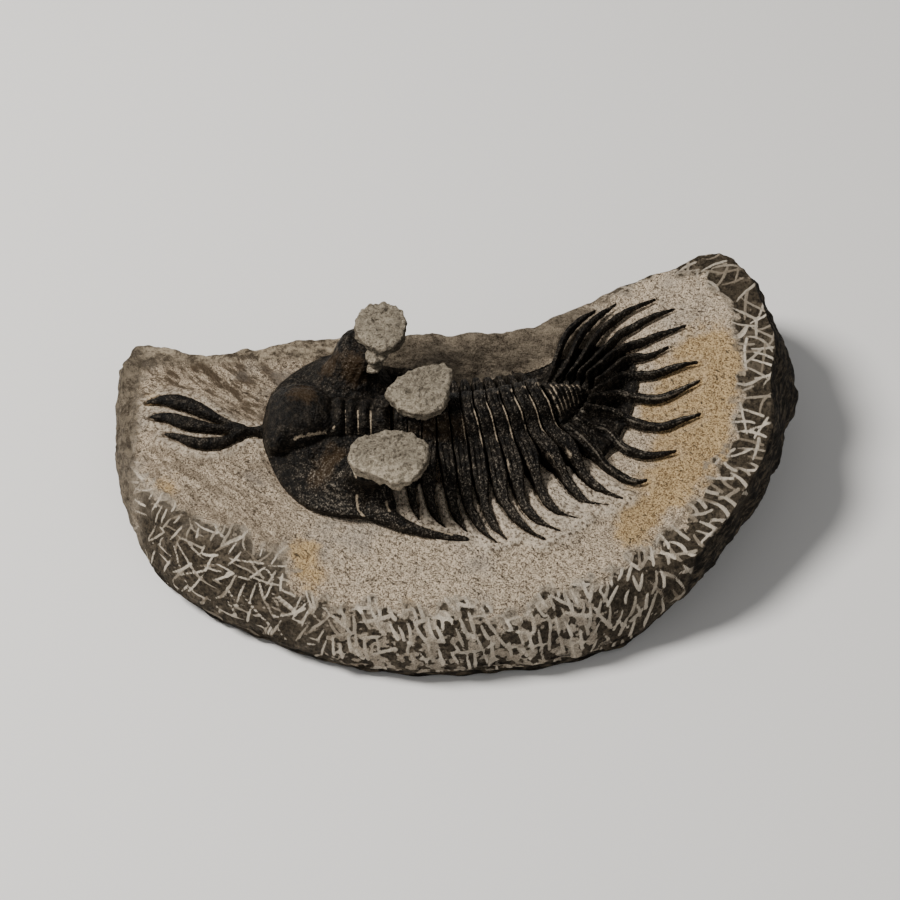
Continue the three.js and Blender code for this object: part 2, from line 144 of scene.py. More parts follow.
def floor(x, y):
    """The lowest that the animal reaches over the stone."""
    over_trough = ease(-20, -12, x) * (1 - ease(20, 27, x)) * ease(1, 5, y)
    return ground(x, y) + GAP + 0.4 * over_trough


def place(s, l):
    """A point in plan from its distance s along the midline and l across it."""
    angle = np.maximum(s, 0) / BEND
    x = BEND_X + np.minimum(s, 0) + BEND * np.sin(angle) - l * np.sin(angle)
    y = AXIS_Y + BEND * (1 - np.cos(angle)) + l * np.cos(angle)
    return x, y


def through(t, knots, values):
    """A smooth line through the values at the knots."""
    knots, values = np.asarray(knots, float), np.asarray(values, float)
    steps = np.diff(knots)
    slopes = np.diff(values) / steps
    inner = (slopes[:-1] * steps[1:] + slopes[1:] * steps[:-1]) / (steps[1:] + steps[:-1])
    inner = np.where(slopes[:-1] * slopes[1:] < 0, inner * 0.4, inner)
    tangents = np.concatenate([[slopes[0]], inner, [slopes[-1]]])
    t = np.clip(t, knots[0], knots[-1])
    i = np.clip(np.searchsorted(knots, t, side="right") - 1, 0, len(steps) - 1)
    w = (t - knots[i]) / steps[i]
    a, b = values[i], values[i + 1]
    ta, tb = tangents[i] * steps[i], tangents[i + 1] * steps[i]
    w2, w3 = w * w, w * w * w
    return ((2 * w3 - 3 * w2 + 1) * a + (w3 - 2 * w2 + w) * ta
            + (3 * w2 - 2 * w3) * b + (w3 - w2) * tb)


def joined_up(loop):
    """A loop's points with the first one again at the end."""
    return np.concatenate([loop, loop[:1]])


def lengths_along(line):
    """How far along a line each of its points is."""
    return np.concatenate([[0], np.cumsum(np.linalg.norm(np.diff(line, axis=0), axis=1))])


def evenly(line, count):
    """Evenly spaced points along a line that ends where it starts."""
    along = lengths_along(line)
    wanted = np.linspace(0, along[-1], count, endpoint=False)
    return np.stack([np.interp(wanted, along, line[:, k]) for k in (0, 1)], 1)


def loop_points(outline, count):
    """Evenly spaced points on a smooth closed line through the outline's points."""
    p = np.asarray(outline, float)
    runs = []
    for i in range(len(p)):
        p0, p1, p2, p3 = p[i - 1], p[i], p[(i + 1) % len(p)], p[(i + 2) % len(p)]
        d0, d1, d2 = (math.dist(a, b) ** 0.5 for a, b in ((p0, p1), (p1, p2), (p2, p3)))
        t1 = ((p1 - p0) / d0 - (p2 - p0) / (d0 + d1) + (p2 - p1) / d1) * d1
        t2 = ((p2 - p1) / d1 - (p3 - p1) / (d1 + d2) + (p3 - p2) / d2) * d1
        w = np.linspace(0, 1, 24, endpoint=False)[:, None]
        runs.append((2 * w**3 - 3 * w**2 + 1) * p1 + (w**3 - 2 * w**2 + w) * t1
                    + (3 * w**2 - 2 * w**3) * p2 + (w**3 - w**2) * t2)
    return evenly(joined_up(np.concatenate(runs)), count)


def around(loop, c):
    """Points of a closed line at the fractions c of its length."""
    line = joined_up(loop)
    at = np.mod(c, 1) * len(loop)
    steps = np.arange(len(line))
    return np.interp(at, steps, line[:, 0]), np.interp(at, steps, line[:, 1])


# Unevenness

def chance(cells, seed):
    """A repeatable value from 0 to 1 for each whole-numbered cell."""
    x, y, z = (cells[..., k].astype(np.int64) for k in range(3))
    h = (x * 374761393 + y * 668265263 + z * 1442695041 + seed * 974634777) & 0xFFFFFFFF
    h = ((h ^ (h >> 13)) * 1274126177) & 0xFFFFFFFF
    h = ((h ^ (h >> 15)) * 2246822519) & 0xFFFFFFFF
    return ((h ^ (h >> 16)) & 0xFFFFFF) / 0xFFFFFF


def rough(points, size, seed=0, layers=1):
    """Smooth lumps between -1 and 1, size millimetres apart, with finer layers on them."""
    total, reach, weight = 0.0, 0.0, 1.0
    for layer in range(layers):
        p = points / size * 2**layer + 17.3 * layer
        cell = np.floor(p)
        w = p - cell
        w = w * w * (3 - 2 * w)
        value = 0.0
        for corner in range(8):
            step = np.array([corner & 1, (corner >> 1) & 1, corner >> 2])
            share = np.prod(np.where(step, w, 1 - w), axis=-1)
            value = value + share * chance(cell + step, SEED + seed + 31 * layer)
        total = total + weight * (2 * value - 1)
        reach += weight
        weight *= 0.55
    return total / reach


def line_distance(x, y, line, closed=False):
    """Distance in plan from each point to a line of points."""
    p = np.asarray(line, float)
    ends = np.roll(p, -1, axis=0) if closed else p[1:]
    best = np.full(np.shape(x), 1e9)
    for (ax, ay), (bx, by) in zip(p[: len(ends)], ends):
        dx, dy = bx - ax, by - ay
        t = np.clip(((x - ax) * dx + (y - ay) * dy) / (dx * dx + dy * dy), 0, 1)
        best = np.minimum(best, np.hypot(x - ax - t * dx, y - ay - t * dy))
    return best


def inside(x, y, line):
    """Whether each point lies within a closed line."""
    p = np.asarray(line, float)
    crossed = np.zeros(np.shape(x), bool)
    for (ax, ay), (bx, by) in zip(p, np.roll(p, -1, axis=0)):
        if ay == by:
            continue
        hits = ((ay > y) != (by > y)) & (x < (bx - ax) * (y - ay) / (by - ay) + ax)
        crossed ^= hits
    return crossed


def outside_distance(x, y, line):
    """Distance beyond a closed line, negative within it."""
    distance = line_distance(x, y, line, closed=True)
    return np.where(inside(x, y, line), -distance, distance)


# Work on the mesh

def deselect():
    """Leaves edit mode and selects nothing, so that an operator acts on what it is given."""
    if bpy.context.object and bpy.context.object.mode != "OBJECT":
        bpy.ops.object.mode_set(mode="OBJECT")
    bpy.ops.object.select_all(action="DESELECT")


def activate(piece):
    """Makes a piece the one that is selected and worked on."""
    deselect()
    piece.select_set(True)
    bpy.context.view_layer.objects.active = piece


def read_points(piece, kind="co"):
    """A mesh's corners, or with kind "normal" their normals, one row each."""
    values = np.empty(len(piece.data.vertices) * 3)
    piece.data.vertices.foreach_get(kind, values)
    return values.reshape(-1, 3)


def write_points(piece, points):
    """Moves a mesh's corners, in metres."""
    piece.data.vertices.foreach_set("co", np.ascontiguousarray(points, np.float64).ravel())
    piece.data.update()


def write_masks(piece, **masks):
    """Keeps a value for each corner on the mesh, for the material to read."""
    for name, values in masks.items():
        layer = piece.data.attributes.new(name, "FLOAT", "POINT")
        layer.data.foreach_set("value", np.ascontiguousarray(values, np.float32))


def subdivide_edges(piece, chosen, cuts):
    """Cuts the chosen edges, and the faces between them, into shorter ones."""
    activate(piece)
    bpy.context.tool_settings.mesh_select_mode = (False, True, False)
    mesh = piece.data
    mesh.vertices.foreach_set("select", np.zeros(len(mesh.vertices), bool))
    mesh.polygons.foreach_set("select", np.zeros(len(mesh.polygons), bool))
    mesh.edges.foreach_set("select", chosen)
    bpy.ops.object.mode_set(mode="EDIT")
    bpy.ops.mesh.subdivide(number_cuts=cuts)
    bpy.ops.object.mode_set(mode="OBJECT")


def edge_ends(piece):
    """The two corners of each edge, by number."""
    ends = np.empty(len(piece.data.edges) * 2, int)
    piece.data.edges.foreach_get("vertices", ends)
    return ends.reshape(-1, 2)


def tube(name, sides, rings, again=1):
    """A closed tube from X = 0 to 1, cut into rings: the blank that each form is shaped from."""
    deselect()
    bpy.ops.mesh.primitive_cylinder_add(
        vertices=sides, radius=1, depth=1, end_fill_type="TRIFAN",
        location=(0.5, 0, 0), rotation=(0, math.pi / 2, 0))
    blank = bpy.context.object
    bpy.ops.object.transform_apply(location=True, rotation=True, scale=True)
    blank.name = blank.data.name = name
    for cuts in (rings, again):
        if cuts > 1:
            ends = read_points(blank)[edge_ends(blank)]
            lengthwise = np.abs(ends[:, 0, 0] - ends[:, 1, 0]) > 1e-4
            subdivide_edges(blank, lengthwise, cuts - 1)
    return blank


def blank_places(blank):
    """How far along the tube each corner is, how far round, and which two are the hubs."""
    p = read_points(blank)
    turn = np.mod(np.arctan2(p[:, 1], p[:, 2]) / (2 * math.pi), 1)
    hub = np.hypot(p[:, 1], p[:, 2]) < 0.5
    return np.clip(p[:, 0], 0, 1), turn, hub


def shape(blank, form):
    """Moves a blank's corners to form(along, round), in millimetres."""
    u, c, hub = blank_places(blank)
    points = np.stack(np.broadcast_arrays(*form(u, c)), 1)
    for end in (0, 1):
        at_end = np.abs(u - end) < 1e-4
        points[hub & at_end] = points[~hub & at_end].mean(0)
    write_points(blank, points * MM)
    face_out(blank)
    return u, c


def face_out(piece):
    """Turns a closed form's faces outwards."""
    activate(piece)
    bpy.ops.object.mode_set(mode="EDIT")
    bpy.ops.mesh.select_all(action="SELECT")
    bpy.ops.mesh.normals_make_consistent(inside=False)
    bpy.ops.object.mode_set(mode="OBJECT")


def apply_modifier(piece, kind, **values):
    """Puts a modifier on the active piece and applies it."""
    modifier = piece.modifiers.new(kind, kind)
    for key, value in values.items():
        setattr(modifier, key, value)
    bpy.ops.object.modifier_apply(modifier=modifier.name)


def fuse(parts, name, voxel, smoothing=2):
    """Grows several closed forms together into one skin."""
    deselect()
    for part in parts:
        part.select_set(True)
    bpy.context.view_layer.objects.active = parts[0]
    bpy.ops.object.join()
    whole = bpy.context.object
    whole.name = whole.data.name = name
    apply_modifier(whole, "REMESH", mode="VOXEL", voxel_size=voxel)
    apply_modifier(whole, "SMOOTH", factor=0.5, iterations=smoothing)
    return whole


def finish_piece(piece, material, slot, *nodes):
    """Gives a piece its material and its place in the frame, over the CAD nodes it replaces."""
    activate(piece)
    bpy.ops.object.shade_smooth()
    piece.data.materials.clear()
    piece.data.materials.append(material)
    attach(piece, "root")
    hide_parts(*nodes)


# Slab. Its rings run from the underside up the wall, over the edge and in across the dish.
# The edge's rings lie within EDGE_BAND of the outline. The dish's last ring stops just short
# of the centre, where the tube is closed

OUTLINE = loop_points(SLAB_OUTLINE, OUTLINE_CORNERS)
SLAB_SIDES = 300
WALL_RINGS = 12
EDGE_RINGS = 14
DISH_RINGS = 63
EDGE_START = 1 + WALL_RINGS
DISH_START = EDGE_START + EDGE_RINGS
SLAB_RINGS = DISH_START + DISH_RINGS
EDGE_BAND = 13.0
DISH_REACH = 0.985
STROKE_TRIES = 12000


def edge_style(x, y):
    """Width of the rounded edge, height of the wall, its share that is broken, its undercut."""
    front = 1 - ease(-20, 8, y)
    right = ease(24, 38, x)
    left = ease(-36, -50, x) * (1 - front)
    wall = mix(1.4, 4.4, ease(-8, 8, y))
    run = mix(mix(mix(1.6, 6.8, front), 3.2, left), wall, right)
    line = mix(mix(mix(9, 3, front), 6, left), 9, right)
    return run, line, right, UNDERCUT * right * (1 - 0.5 * ease(20, 34, y))


def broken(corner):
    """How the faces of the broken wall stand out and back, from corner to corner."""
    return (0.45 * np.sin(corner * 2.4) + 0.35 * np.sin(corner * 1.1 + 2)
            + 0.2 * np.sin(corner * 3.7 + 1))


def heart_of(x):
    """The point in the stone's middle that the outline at x is drawn in towards."""
    hx = np.clip(x, -43, 43) * 0.82 + 1.2
    hy = 2 + 6 * ease(-8, -42, hx) + 13 * ease(8, 42, hx)
    return hx, hy


def slab_form(u, c):
    """The stone's skin: underside, broken wall, edge and dish, as one tube."""
    rings = u * SLAB_RINGS
    ox, oy = around(OUTLINE, c)
    corner = np.mod(c, 1) * OUTLINE_CORNERS
    run, line, sharp, undercut = edge_style(ox, oy)
    radius = np.hypot(ox - SLAB_CENTRE[0], oy - SLAB_CENTRE[1])
    hx, hy = heart_of(ox)
    depth = np.hypot(hx - ox, hy - oy)
    wx, wy = (hx - ox) / depth, (hy - oy) / depth
    wall = np.clip((rings - 1) / WALL_RINGS, 0, 1)
    edge = np.clip((rings - EDGE_START) / EDGE_RINGS, 0, 1)
    dish = np.clip((rings - DISH_START) / DISH_RINGS, 0, 1)
    knots = [0, 0.35, 0.7, 1]
    scale = through(wall, knots, [0.965, 0.985, 0.99, 1])
    wander = through(wall, knots, [1, -1, 1, 0.6]) * (1 - ease(0, 0.25, edge))
    inset = through(wall, knots, [1, 0.7, 0.25, 0])
    over_edge = np.minimum(EDGE_BAND, depth * 0.6) * edge**1.35
    inward = over_edge + radius * (1 - scale) - wander * CHIP * broken(corner) + inset * undercut
    inward = inward + np.where(rings < 1, 6 * (1 - rings), 0)
    x, y = ox + wx * inward, oy + wy * inward
    t = dish * DISH_REACH
    x = (1 - t) ** 2 * x + 2 * t * (1 - t) * hx + t * t * SLAB_CENTRE[0]
    y = (1 - t) ** 2 * y + 2 * t * (1 - t) * hy + t * t * SLAB_CENTRE[1]
    inward = over_edge + 20 * dish
    outward = 1 - np.clip(inward / run, 0, 1)
    fall = mix(np.sqrt(1 - outward**2), (1 - outward) ** 0.6, sharp)
    top = mix(line, ground(x, y), np.where(inward >= run, 1, fall))
    z = np.where(rings <= 1, 0, np.where(wall < 1, line * wall, top))
    return x, y, z


def stroke_plan(x, y, outward, rng):
    """Slant of a scribe stroke as the camera sees it, room to the next, length and width."""
    top, right = ease(24, 29, y), ease(38, 42, x) * ease(-9, -5, y)
    corner = ease(29, 34, x) * (1 - ease(-8, -5, y))
    upright = ease(18, 22, x) * (1 - corner)
    left = ease(-16, -22, x)
    slant = mix(mix(112.0, 72.0, upright), 142.0, corner)
    slant = mix(mix(slant, 184.0 + rng.normal(0, 9), right), 197.0, top)
    leans_back = rng.random() < mix(0.5, 0.85, ease(5, 9, outward))
    slant = mix(slant, 150.0 if leans_back else 62.0, left)
    room = mix(mix(mix(mix(1.0, 1.15, corner), 1.2, right), 0.8, top), 0.9, left)
    long = mix(rng.uniform(2.4, 4.8), rng.uniform(3.4, 5.8), max(right, top))
    long = mix(long, rng.uniform(2.4, 6), left)
    wide = mix(rng.uniform(0.42, 0.62), rng.uniform(0.24, 0.42), max(left, top, right * 0.6))
    return slant + rng.normal(0, mix(10, 18, max(left, right))), room, long, wide


def cut_strokes(piece, points, settings):
    """Lays the scribe's strokes over the tooled edge. Gives the distance to the nearest one and its
    tone, lighter along the front as painted light and darker towards the far top, and the distances
    beyond the dish and the broken end's line."""
    rng = np.random.default_rng(SEED)
    normals = read_points(piece, "normal")
    x, y, z = points.T
    border = outside_distance(x, y, DISH_EDGE)
    beyond = outside_distance(x, y, RIM_LINE + [(-80, -60), (-80, 60)])
    tooled = (border > 0.0) & (normals[:, 2] > 0.04) & (z > 1.5) & ((x < 30) | (beyond < 0.1))
    tooled &= (y < 12) | (x > 26)
    spots = np.nonzero(tooled)[0]
    stroke = np.full(len(points), 2.0)
    tone = np.zeros(len(points))
    tilt = math.radians(CAMERA_TILT)
    rise, depth = math.cos(tilt), math.sin(tilt)
    laid = np.empty((0, 4))
    for corner in rng.choice(spots, STROKE_TRIES):
        px, py, pz = points[corner]
        n = normals[corner]
        slant, room, long, wide = stroke_plan(px, py, border[corner], rng)
        crossing = rng.random() < mix(0.3, 0.06, ease(22, 27, py))
        slant = math.radians(slant + (rng.uniform(40, 85) if crossing else 0))
        room *= 2.1 if crossing else 1
        sx, sy = math.cos(slant), math.sin(slant)
        seen_x, seen_y = px, py * rise + pz * depth
        across = np.abs((laid[:, 0] - seen_x) * sy - (laid[:, 1] - seen_y) * sx)
        along = np.abs((laid[:, 0] - seen_x) * sx + (laid[:, 1] - seen_y) * sy)
        alike = laid[:, 3] == crossing
        if np.any(alike & (across < room) & (along < (laid[:, 2] + long) * 0.4)):
            continue
        laid = np.vstack([laid, (seen_x, seen_y, long, crossing)])
        if len(laid) > settings.stroke_count:
            break
        slope_x, slope_y = -n[0] / max(n[2], 0.12), -n[1] / max(n[2], 0.12)
        dy = (sy - depth * slope_x * sx) / max(rise + depth * slope_y, 0.2)
        way = np.array([sx, dy, slope_x * sx + slope_y * dy])
        long *= np.linalg.norm(way) ** 0.5
        way /= np.linalg.norm(way)
        half = settings.stroke_width * wide / 2
        near = np.nonzero((np.abs(x - px) < long) & (np.abs(y - py) < long)
                          & (np.abs(z - pz) < long))[0]
        off = points[near] - points[corner]
        t = np.clip(off @ way, -long / 2, long / 2)
        bow = np.array([-way[1], way[0], 0]) * rng.normal(0, 0.4)
        gap = np.linalg.norm(off - t[:, None] * way - bow * (4 * (t / long) ** 2)[:, None], axis=1)
        signed = gap - half * mix(1, 0.5, np.abs(t / long + 0.5) ** 2)
        closer = signed < stroke[near]
        stroke[near[closer]] = signed[closer]
        # Strokes along the front get a lighter tone as painted light, where the front slope faces
        # away from the lamp; towards the far top they get a darker one
        front = ease(-16, -10, px) * (1 - ease(22, 30, px))
        tone[near[closer]] = rng.uniform(mix(0, 0.45, front), mix(1, 0.6, ease(20, 27, py)))
    return stroke, tone, border, beyond


def body_place(x, y):
    """The distance along the midline and across it of points in plan."""
    ahead = x < BEND_X
    rx, ry = x - BEND_X, AXIS_Y + BEND - y
    s = np.where(ahead, rx, BEND * np.arctan2(rx, ry))
    return s, np.where(ahead, y - AXIS_Y, BEND - np.hypot(rx, ry))


def spine_gap(x, y):
    """Distance in plan from the nearest of the thorax's near spines."""
    s, l = body_place(x, y)
    gap = np.full(np.shape(x), NOTHING_NEAR)
    for number in range(1, SEGMENTS):
        tip = NEAR_SPINES[number][-1][0]
        aside = np.abs(s - spine_middle(number, l)) - spine_width(np.abs(l) / tip) / 2
        gap = np.minimum(gap, np.hypot(np.maximum(aside, 0), np.maximum(-l - tip, 0)))
    return np.where(l < -9.5, gap, NOTHING_NEAR)


def blade_gap(x, y, stations):
    """Distance in plan from a blade, taken as a row of discs."""
    table = np.asarray(stations, float)
    runs = np.arange(len(table))
    steps = np.linspace(0, len(table) - 1, 50)
    gap = np.full(np.shape(x), NOTHING_NEAR)
    for px, py, width in zip(*(through(steps, runs, table[:, k]) for k in range(3))):
        gap = np.minimum(gap, np.hypot(x - px, y - py) - width / 2)
    return gap


def animal_gap(x, y):
    """Distances from the spines of the thorax and from the tail, fork and head."""
    blades = [rib_stations(r, 1.35) for r in NEAR_RIBS]
    blades += [rib_stations(r, 1.05) for r in FAR_RIBS + [MEDIAN_RIB]]
    tail = np.min([blade_gap(x, y, b[RIB_ROOT:]) for b in blades], axis=0)
    tail = np.minimum(tail, outside_distance(x, y, tail_outline()))
    fork = np.min([blade_gap(x, y, b) for b in FORK], axis=0)
    head = outside_distance(x, y, loop_points(HEAD_OUTLINE, 90))
    head = np.minimum(head, blade_gap(x, y, NEAR_GENAL))
    return spine_gap(x, y), tail, fork, np.where(y < 9, head, NOTHING_NEAR)


def beside(gap, height, start, width):
    """A low bank of stone that stands beside something."""
    return height * ease(start, start + 0.35, gap) * (1 - ease(width * 0.2, width, gap))


def flatten_underside(slab):
    """Makes one flat face of the stone's underside."""
    activate(slab)
    bpy.context.tool_settings.mesh_select_mode = (False, False, True)
    z = read_points(slab)[:, 2]
    for kind in (slab.data.vertices, slab.data.edges):
        kind.foreach_set("select", np.zeros(len(kind), bool))
    under = [all(z[v] < 1e-7 for v in face.vertices) for face in slab.data.polygons]
    slab.data.polygons.foreach_set("select", under)
    bpy.ops.object.mode_set(mode="EDIT")
    bpy.ops.mesh.dissolve_faces()
    bpy.ops.object.mode_set(mode="OBJECT")


def slab_blank():
    """The slab's tube: finer on the wall and edge, finer yet where strokes and banks come."""
    slab = tube("slab", SLAB_SIDES, SLAB_RINGS)
    for fine in (False, True):
        u, c, hub = blank_places(slab)
        ends = edge_ends(slab)
        q = u[ends].mean(1) * SLAB_RINGS
        ox, oy = around(OUTLINE, c)
        x, y = ox[ends].mean(1), oy[ends].mean(1)
        chosen = (q > 1) & (q < DISH_START)
        if fine:
            chosen &= (q > EDGE_START - 0.3) & ((y < 10) | (x > 26))
        subdivide_edges(slab, chosen & ~hub[ends].any(1), 1)
    u, c, hub = blank_places(slab)
    ends = edge_ends(slab)
    x, y = (v[ends].mean(1) for v in slab_form(u, c)[:2])
    chosen = (u[ends].mean(1) * SLAB_RINGS > DISH_START) & ~hub[ends].any(1)
    chosen &= np.min(animal_gap(x, y), axis=0) < 2.0
    subdivide_edges(slab, chosen, 1)
    return slab


def build_slab(settings, material):
    slab = slab_blank()
    u = shape(slab, slab_form)[0]
    points = read_points(slab) / MM
    spines, tail, fork, head = animal_gap(points[:, 0], points[:, 1])
    tall = mix(1.05, 1.9, ease(4, -2, points[:, 0]))
    bank = np.maximum(beside(spines, tall, 0.02, 3.4), beside(tail, 0.45, 0.08, 4.0))
    bank = np.maximum(bank, np.maximum(beside(fork, 0.7, 0.05, 3.4), beside(head, 0.45, 0.2, 4.0)))
    bank = np.where(points[:, 2] > 8, bank, 0)
    points[:, 2] += bank
    write_points(slab, points * MM)
    x, y, z = points.T
    stroke, tone, border, beyond = cut_strokes(slab, points, settings)
    normals = read_points(slab, "normal")
    wall = np.clip(np.where(x > 28, beyond, -2), -2, 2)
    q = u * SLAB_RINGS
    low = mix(0.55, 1.0, ease(26, 32, x) * ease(-30, -22, y)) * WALL_RINGS
    wall = np.where(q < 1 + low, 2, wall)
    far_rim = ease(12.5, 17, y) * (1 - ease(16, 30, x))
    in_dish = 1 - ease(-0.3, 0.6, border)
    roughness = mix(mix(0.12, 0.36, ease(-0.2, 1.0, border)), 0.8, far_rim)
    roughness = mix(roughness, 0.75, ease(-0.3, 0.6, wall))
    lumps = rough(points, 2.6, 1, 4) * roughness + rough(points, 9, 2, 2) * 0.3
    hewn = rough(np.stack([x * 0.83 + y * 0.56, (x * 0.56 - y * 0.83) * 0.35, z], 1), 1.3, 4, 2)
    lumps += 0.14 * hewn * mix(2, 0.5, ease(-34, 0, x)) * (1 - ease(0.0, 0.8, bank))
    lumps -= 0.12 * in_dish * ease(0.45, 0.8, rough(points, 1.1, 3)) * (1 - far_rim)
    lumps -= 0.35 * ease(0.0, 0.7, border) * (1 - far_rim)
    lumps += settings.stroke_relief / MM * ease(0.12, -0.08, stroke)
    lumps *= ease(0, 1.5, q) * ease(-0.1, 1.5, z)
    moved = points + normals * lumps[:, None]
    moved[:, 2] = np.maximum(moved[:, 2], 0)
    write_points(slab, moved * MM)
    tan = sum(spot(x, y, *patch) for patch in TAN_PATCHES) * mix(0.8, 1, ease(-20, 10, x))
    bare = np.maximum(ease(-14, -26, x), 0.8 * ease(16, 28, x))
    left_rim = ease(-47.5, -50.5, x) * ease(-24, -14, y)
    write_masks(
        slab, stroke=np.clip(stroke, -1, 2), stroke_tone=tone, border=np.clip(border, -6, 6),
        wall=wall, tan=tan, bank=np.clip(bank, 0, 1),
        hewn=ease(-14, -32, x) * mix(0.55, 1, ease(-4, 6, y)),
        left=bare * ease(0.0, 2.0, border),
        rim=np.maximum(far_rim, ease(-47.5, -51, x) * ease(-22, -12, y)),
        # shade: painted shade on the far rim behind the thorax, and the darker stone of the left
        # rim
        shade=np.maximum(far_rim * ease(-16, -8, x), left_rim))
    flatten_underside(slab)
    finish_piece(slab, material, "slab_limestone", "matrix_slab")


# Tubes. The top takes TOP_SHARE of the way round one. A form that stands on the stone has its
# underside in the first UNDER_SHARE of the way along

STATIONS = 120
SECTION_SIDES = 30
BLADE_SIDES = 28
TOP_SHARE = 0.72
UNDER_SHARE = 0.25

# Thorax. A section is a row of points, each the distance across the body and the height

SEGMENTS = 11
PITCH = 2.16
THORAX_START = -4.4
LOBE = 4.6
TIP_SWEEP = 0.5
NEAR_SECTION = [
    (0, 9.4), (-2.4, 8.7), (-4.5, 5.6), (-7.8, 5.2), (-10.8, 3.9), (-13.2, 2.2), (-16.8, 1.7),
    (-20, 0.9),
]
FAR_SECTION = [
    (0, 9.4), (2.4, 8.7), (4.5, 5.6), (7, 5.2), (8.6, 4.2), (10.2, 1.2), (12.2, -2), (14, -4.8),
]
FAR_TAIL_SECTION = [
    (0, 9.4), (2.4, 8.7), (4.6, 5.6), (7.0, 4.6), (8.8, 2.8), (10.2, 1.0), (11.4, -0.2),
    (12.6, -1),
]
SECTION_STEPS = 7

# Each near spine: how far behind its even place it lies, at distances out from the midline

NEAR_SPINES = [
    [(5, 0), (9, 0.1), (12.4, 0.3)],
    [(5, 0), (9.9, -0.6), (11.6, -0.4), (13.1, -0.09), (15.2, 0.52), (15.9, 0.83)],
    [(5, 0), (9.3, -0.2), (11.8, -0.05), (14.1, 0.4), (16.1, 1.05), (17.3, 1.7)],
    [(5, 0), (8.5, 0.35), (12.3, 0.47), (14.8, 0.8), (16.9, 1.36), (18.1, 1.83)],
    [(5, 0), (9.6, 0), (11.5, 0.09), (14.1, 0.35), (15.8, 0.77), (17.8, 1.27), (19, 1.81),
     (20.5, 2.7)],
    [(5, 0), (9.9, -0.13), (12.2, -0.04), (14.4, 0.06), (16.1, 0.32), (17.9, 0.67),
     (18.9, 1.09), (20.2, 1.7)],
    [(5, 0), (8, 0.05), (10.3, 0.05), (13.3, 0.15), (15, 0.56), (16.4, 0.91), (17.7, 1.38),
     (19, 1.94), (20.1, 2.5), (21.4, 3.5)],
    [(5, 0), (8, 0.12), (10.8, 0.14), (13.5, 0.16), (15.3, 0.36), (17, 0.85), (18.4, 1.5),
     (19.4, 2.18), (20.6, 3.2)],
    [(5, 0.05), (8, 0.35), (11.7, 0.5), (13.8, 0.64), (15.5, 0.94), (16.9, 1.44), (17.9, 2),
     (18.6, 2.65), (19.4, 3.6)],
    [(4.6, 0.1), (6.5, 0.5), (8.6, 1.15), (11.2, 1.72), (13.3, 2.04), (15.1, 2.37),
     (16.5, 2.8), (17.5, 3.46), (18.6, 5.1)],
    [(4.6, 0.1), (6, 0.45), (7.5, 1.05), (9.7, 1.68), (12.1, 2.01), (13.8, 2.46),
     (15.5, 2.99), (16.7, 3.57), (18.4, 4.8)],
]


def segment_reach(number, far):
    """How much of its section's width a segment reaches on one side."""
    if far:
        return 1.0 if number else 0.85
    return NEAR_SPINES[number][-1][0] / abs(NEAR_SECTION[-1][0])


def shift(number, l):
    """How far behind its even place a segment lies, at l across the body."""
    number = min(number, SEGMENTS - 1)
    outward = np.maximum(np.abs(l) - LOBE, 0) / 15
    near = through(-l, *zip(*NEAR_SPINES[number]))
    crest = -0.85 * ease(1, 6, number) * (1 - ease(0.2, 5.2, np.abs(l)))
    return np.where(l > 0, 0.35 * TIP_SWEEP * number * outward**1.6, near) + crest


def spine_middle(number, l):
    """Where along the midline the middle of a segment's spine lies."""
    return THORAX_START + PITCH * (number + 0.5) - 0.08 + shift(number, l)


def spine_width(out):
    """Width of a near spine, out from 0 at the midline to 1 at its tip."""
    return mix(1.08, 0.1, ease(0.76, 1.0, out) ** 1.5)


def segment_place(u):
    """Place in a segment's section, counted in its steps: negative near, positive far."""
    return np.interp(u, [0, 0.5, 1], [-SECTION_STEPS, 0, SECTION_STEPS])


def segment_line(number, k):
    """At place k: distance across the body in the full section and in this one, and height."""
    t = ease(6, 10, number)
    far = [(mix(a[0], b[0], t), mix(a[1], b[1], t)) for a, b in zip(FAR_SECTION, FAR_TAIL_SECTION)]
    knots = np.arange(-SECTION_STEPS, SECTION_STEPS + 1)
    along = NEAR_SECTION[:0:-1] + far
    l0 = through(k, knots, [p[0] for p in along])
    height = through(k, knots, [p[1] for p in along])
    reach = np.where(k < 0, segment_reach(number, False), segment_reach(number, True))
    return l0, l0 * mix(1, reach, np.abs(k) / SECTION_STEPS), height


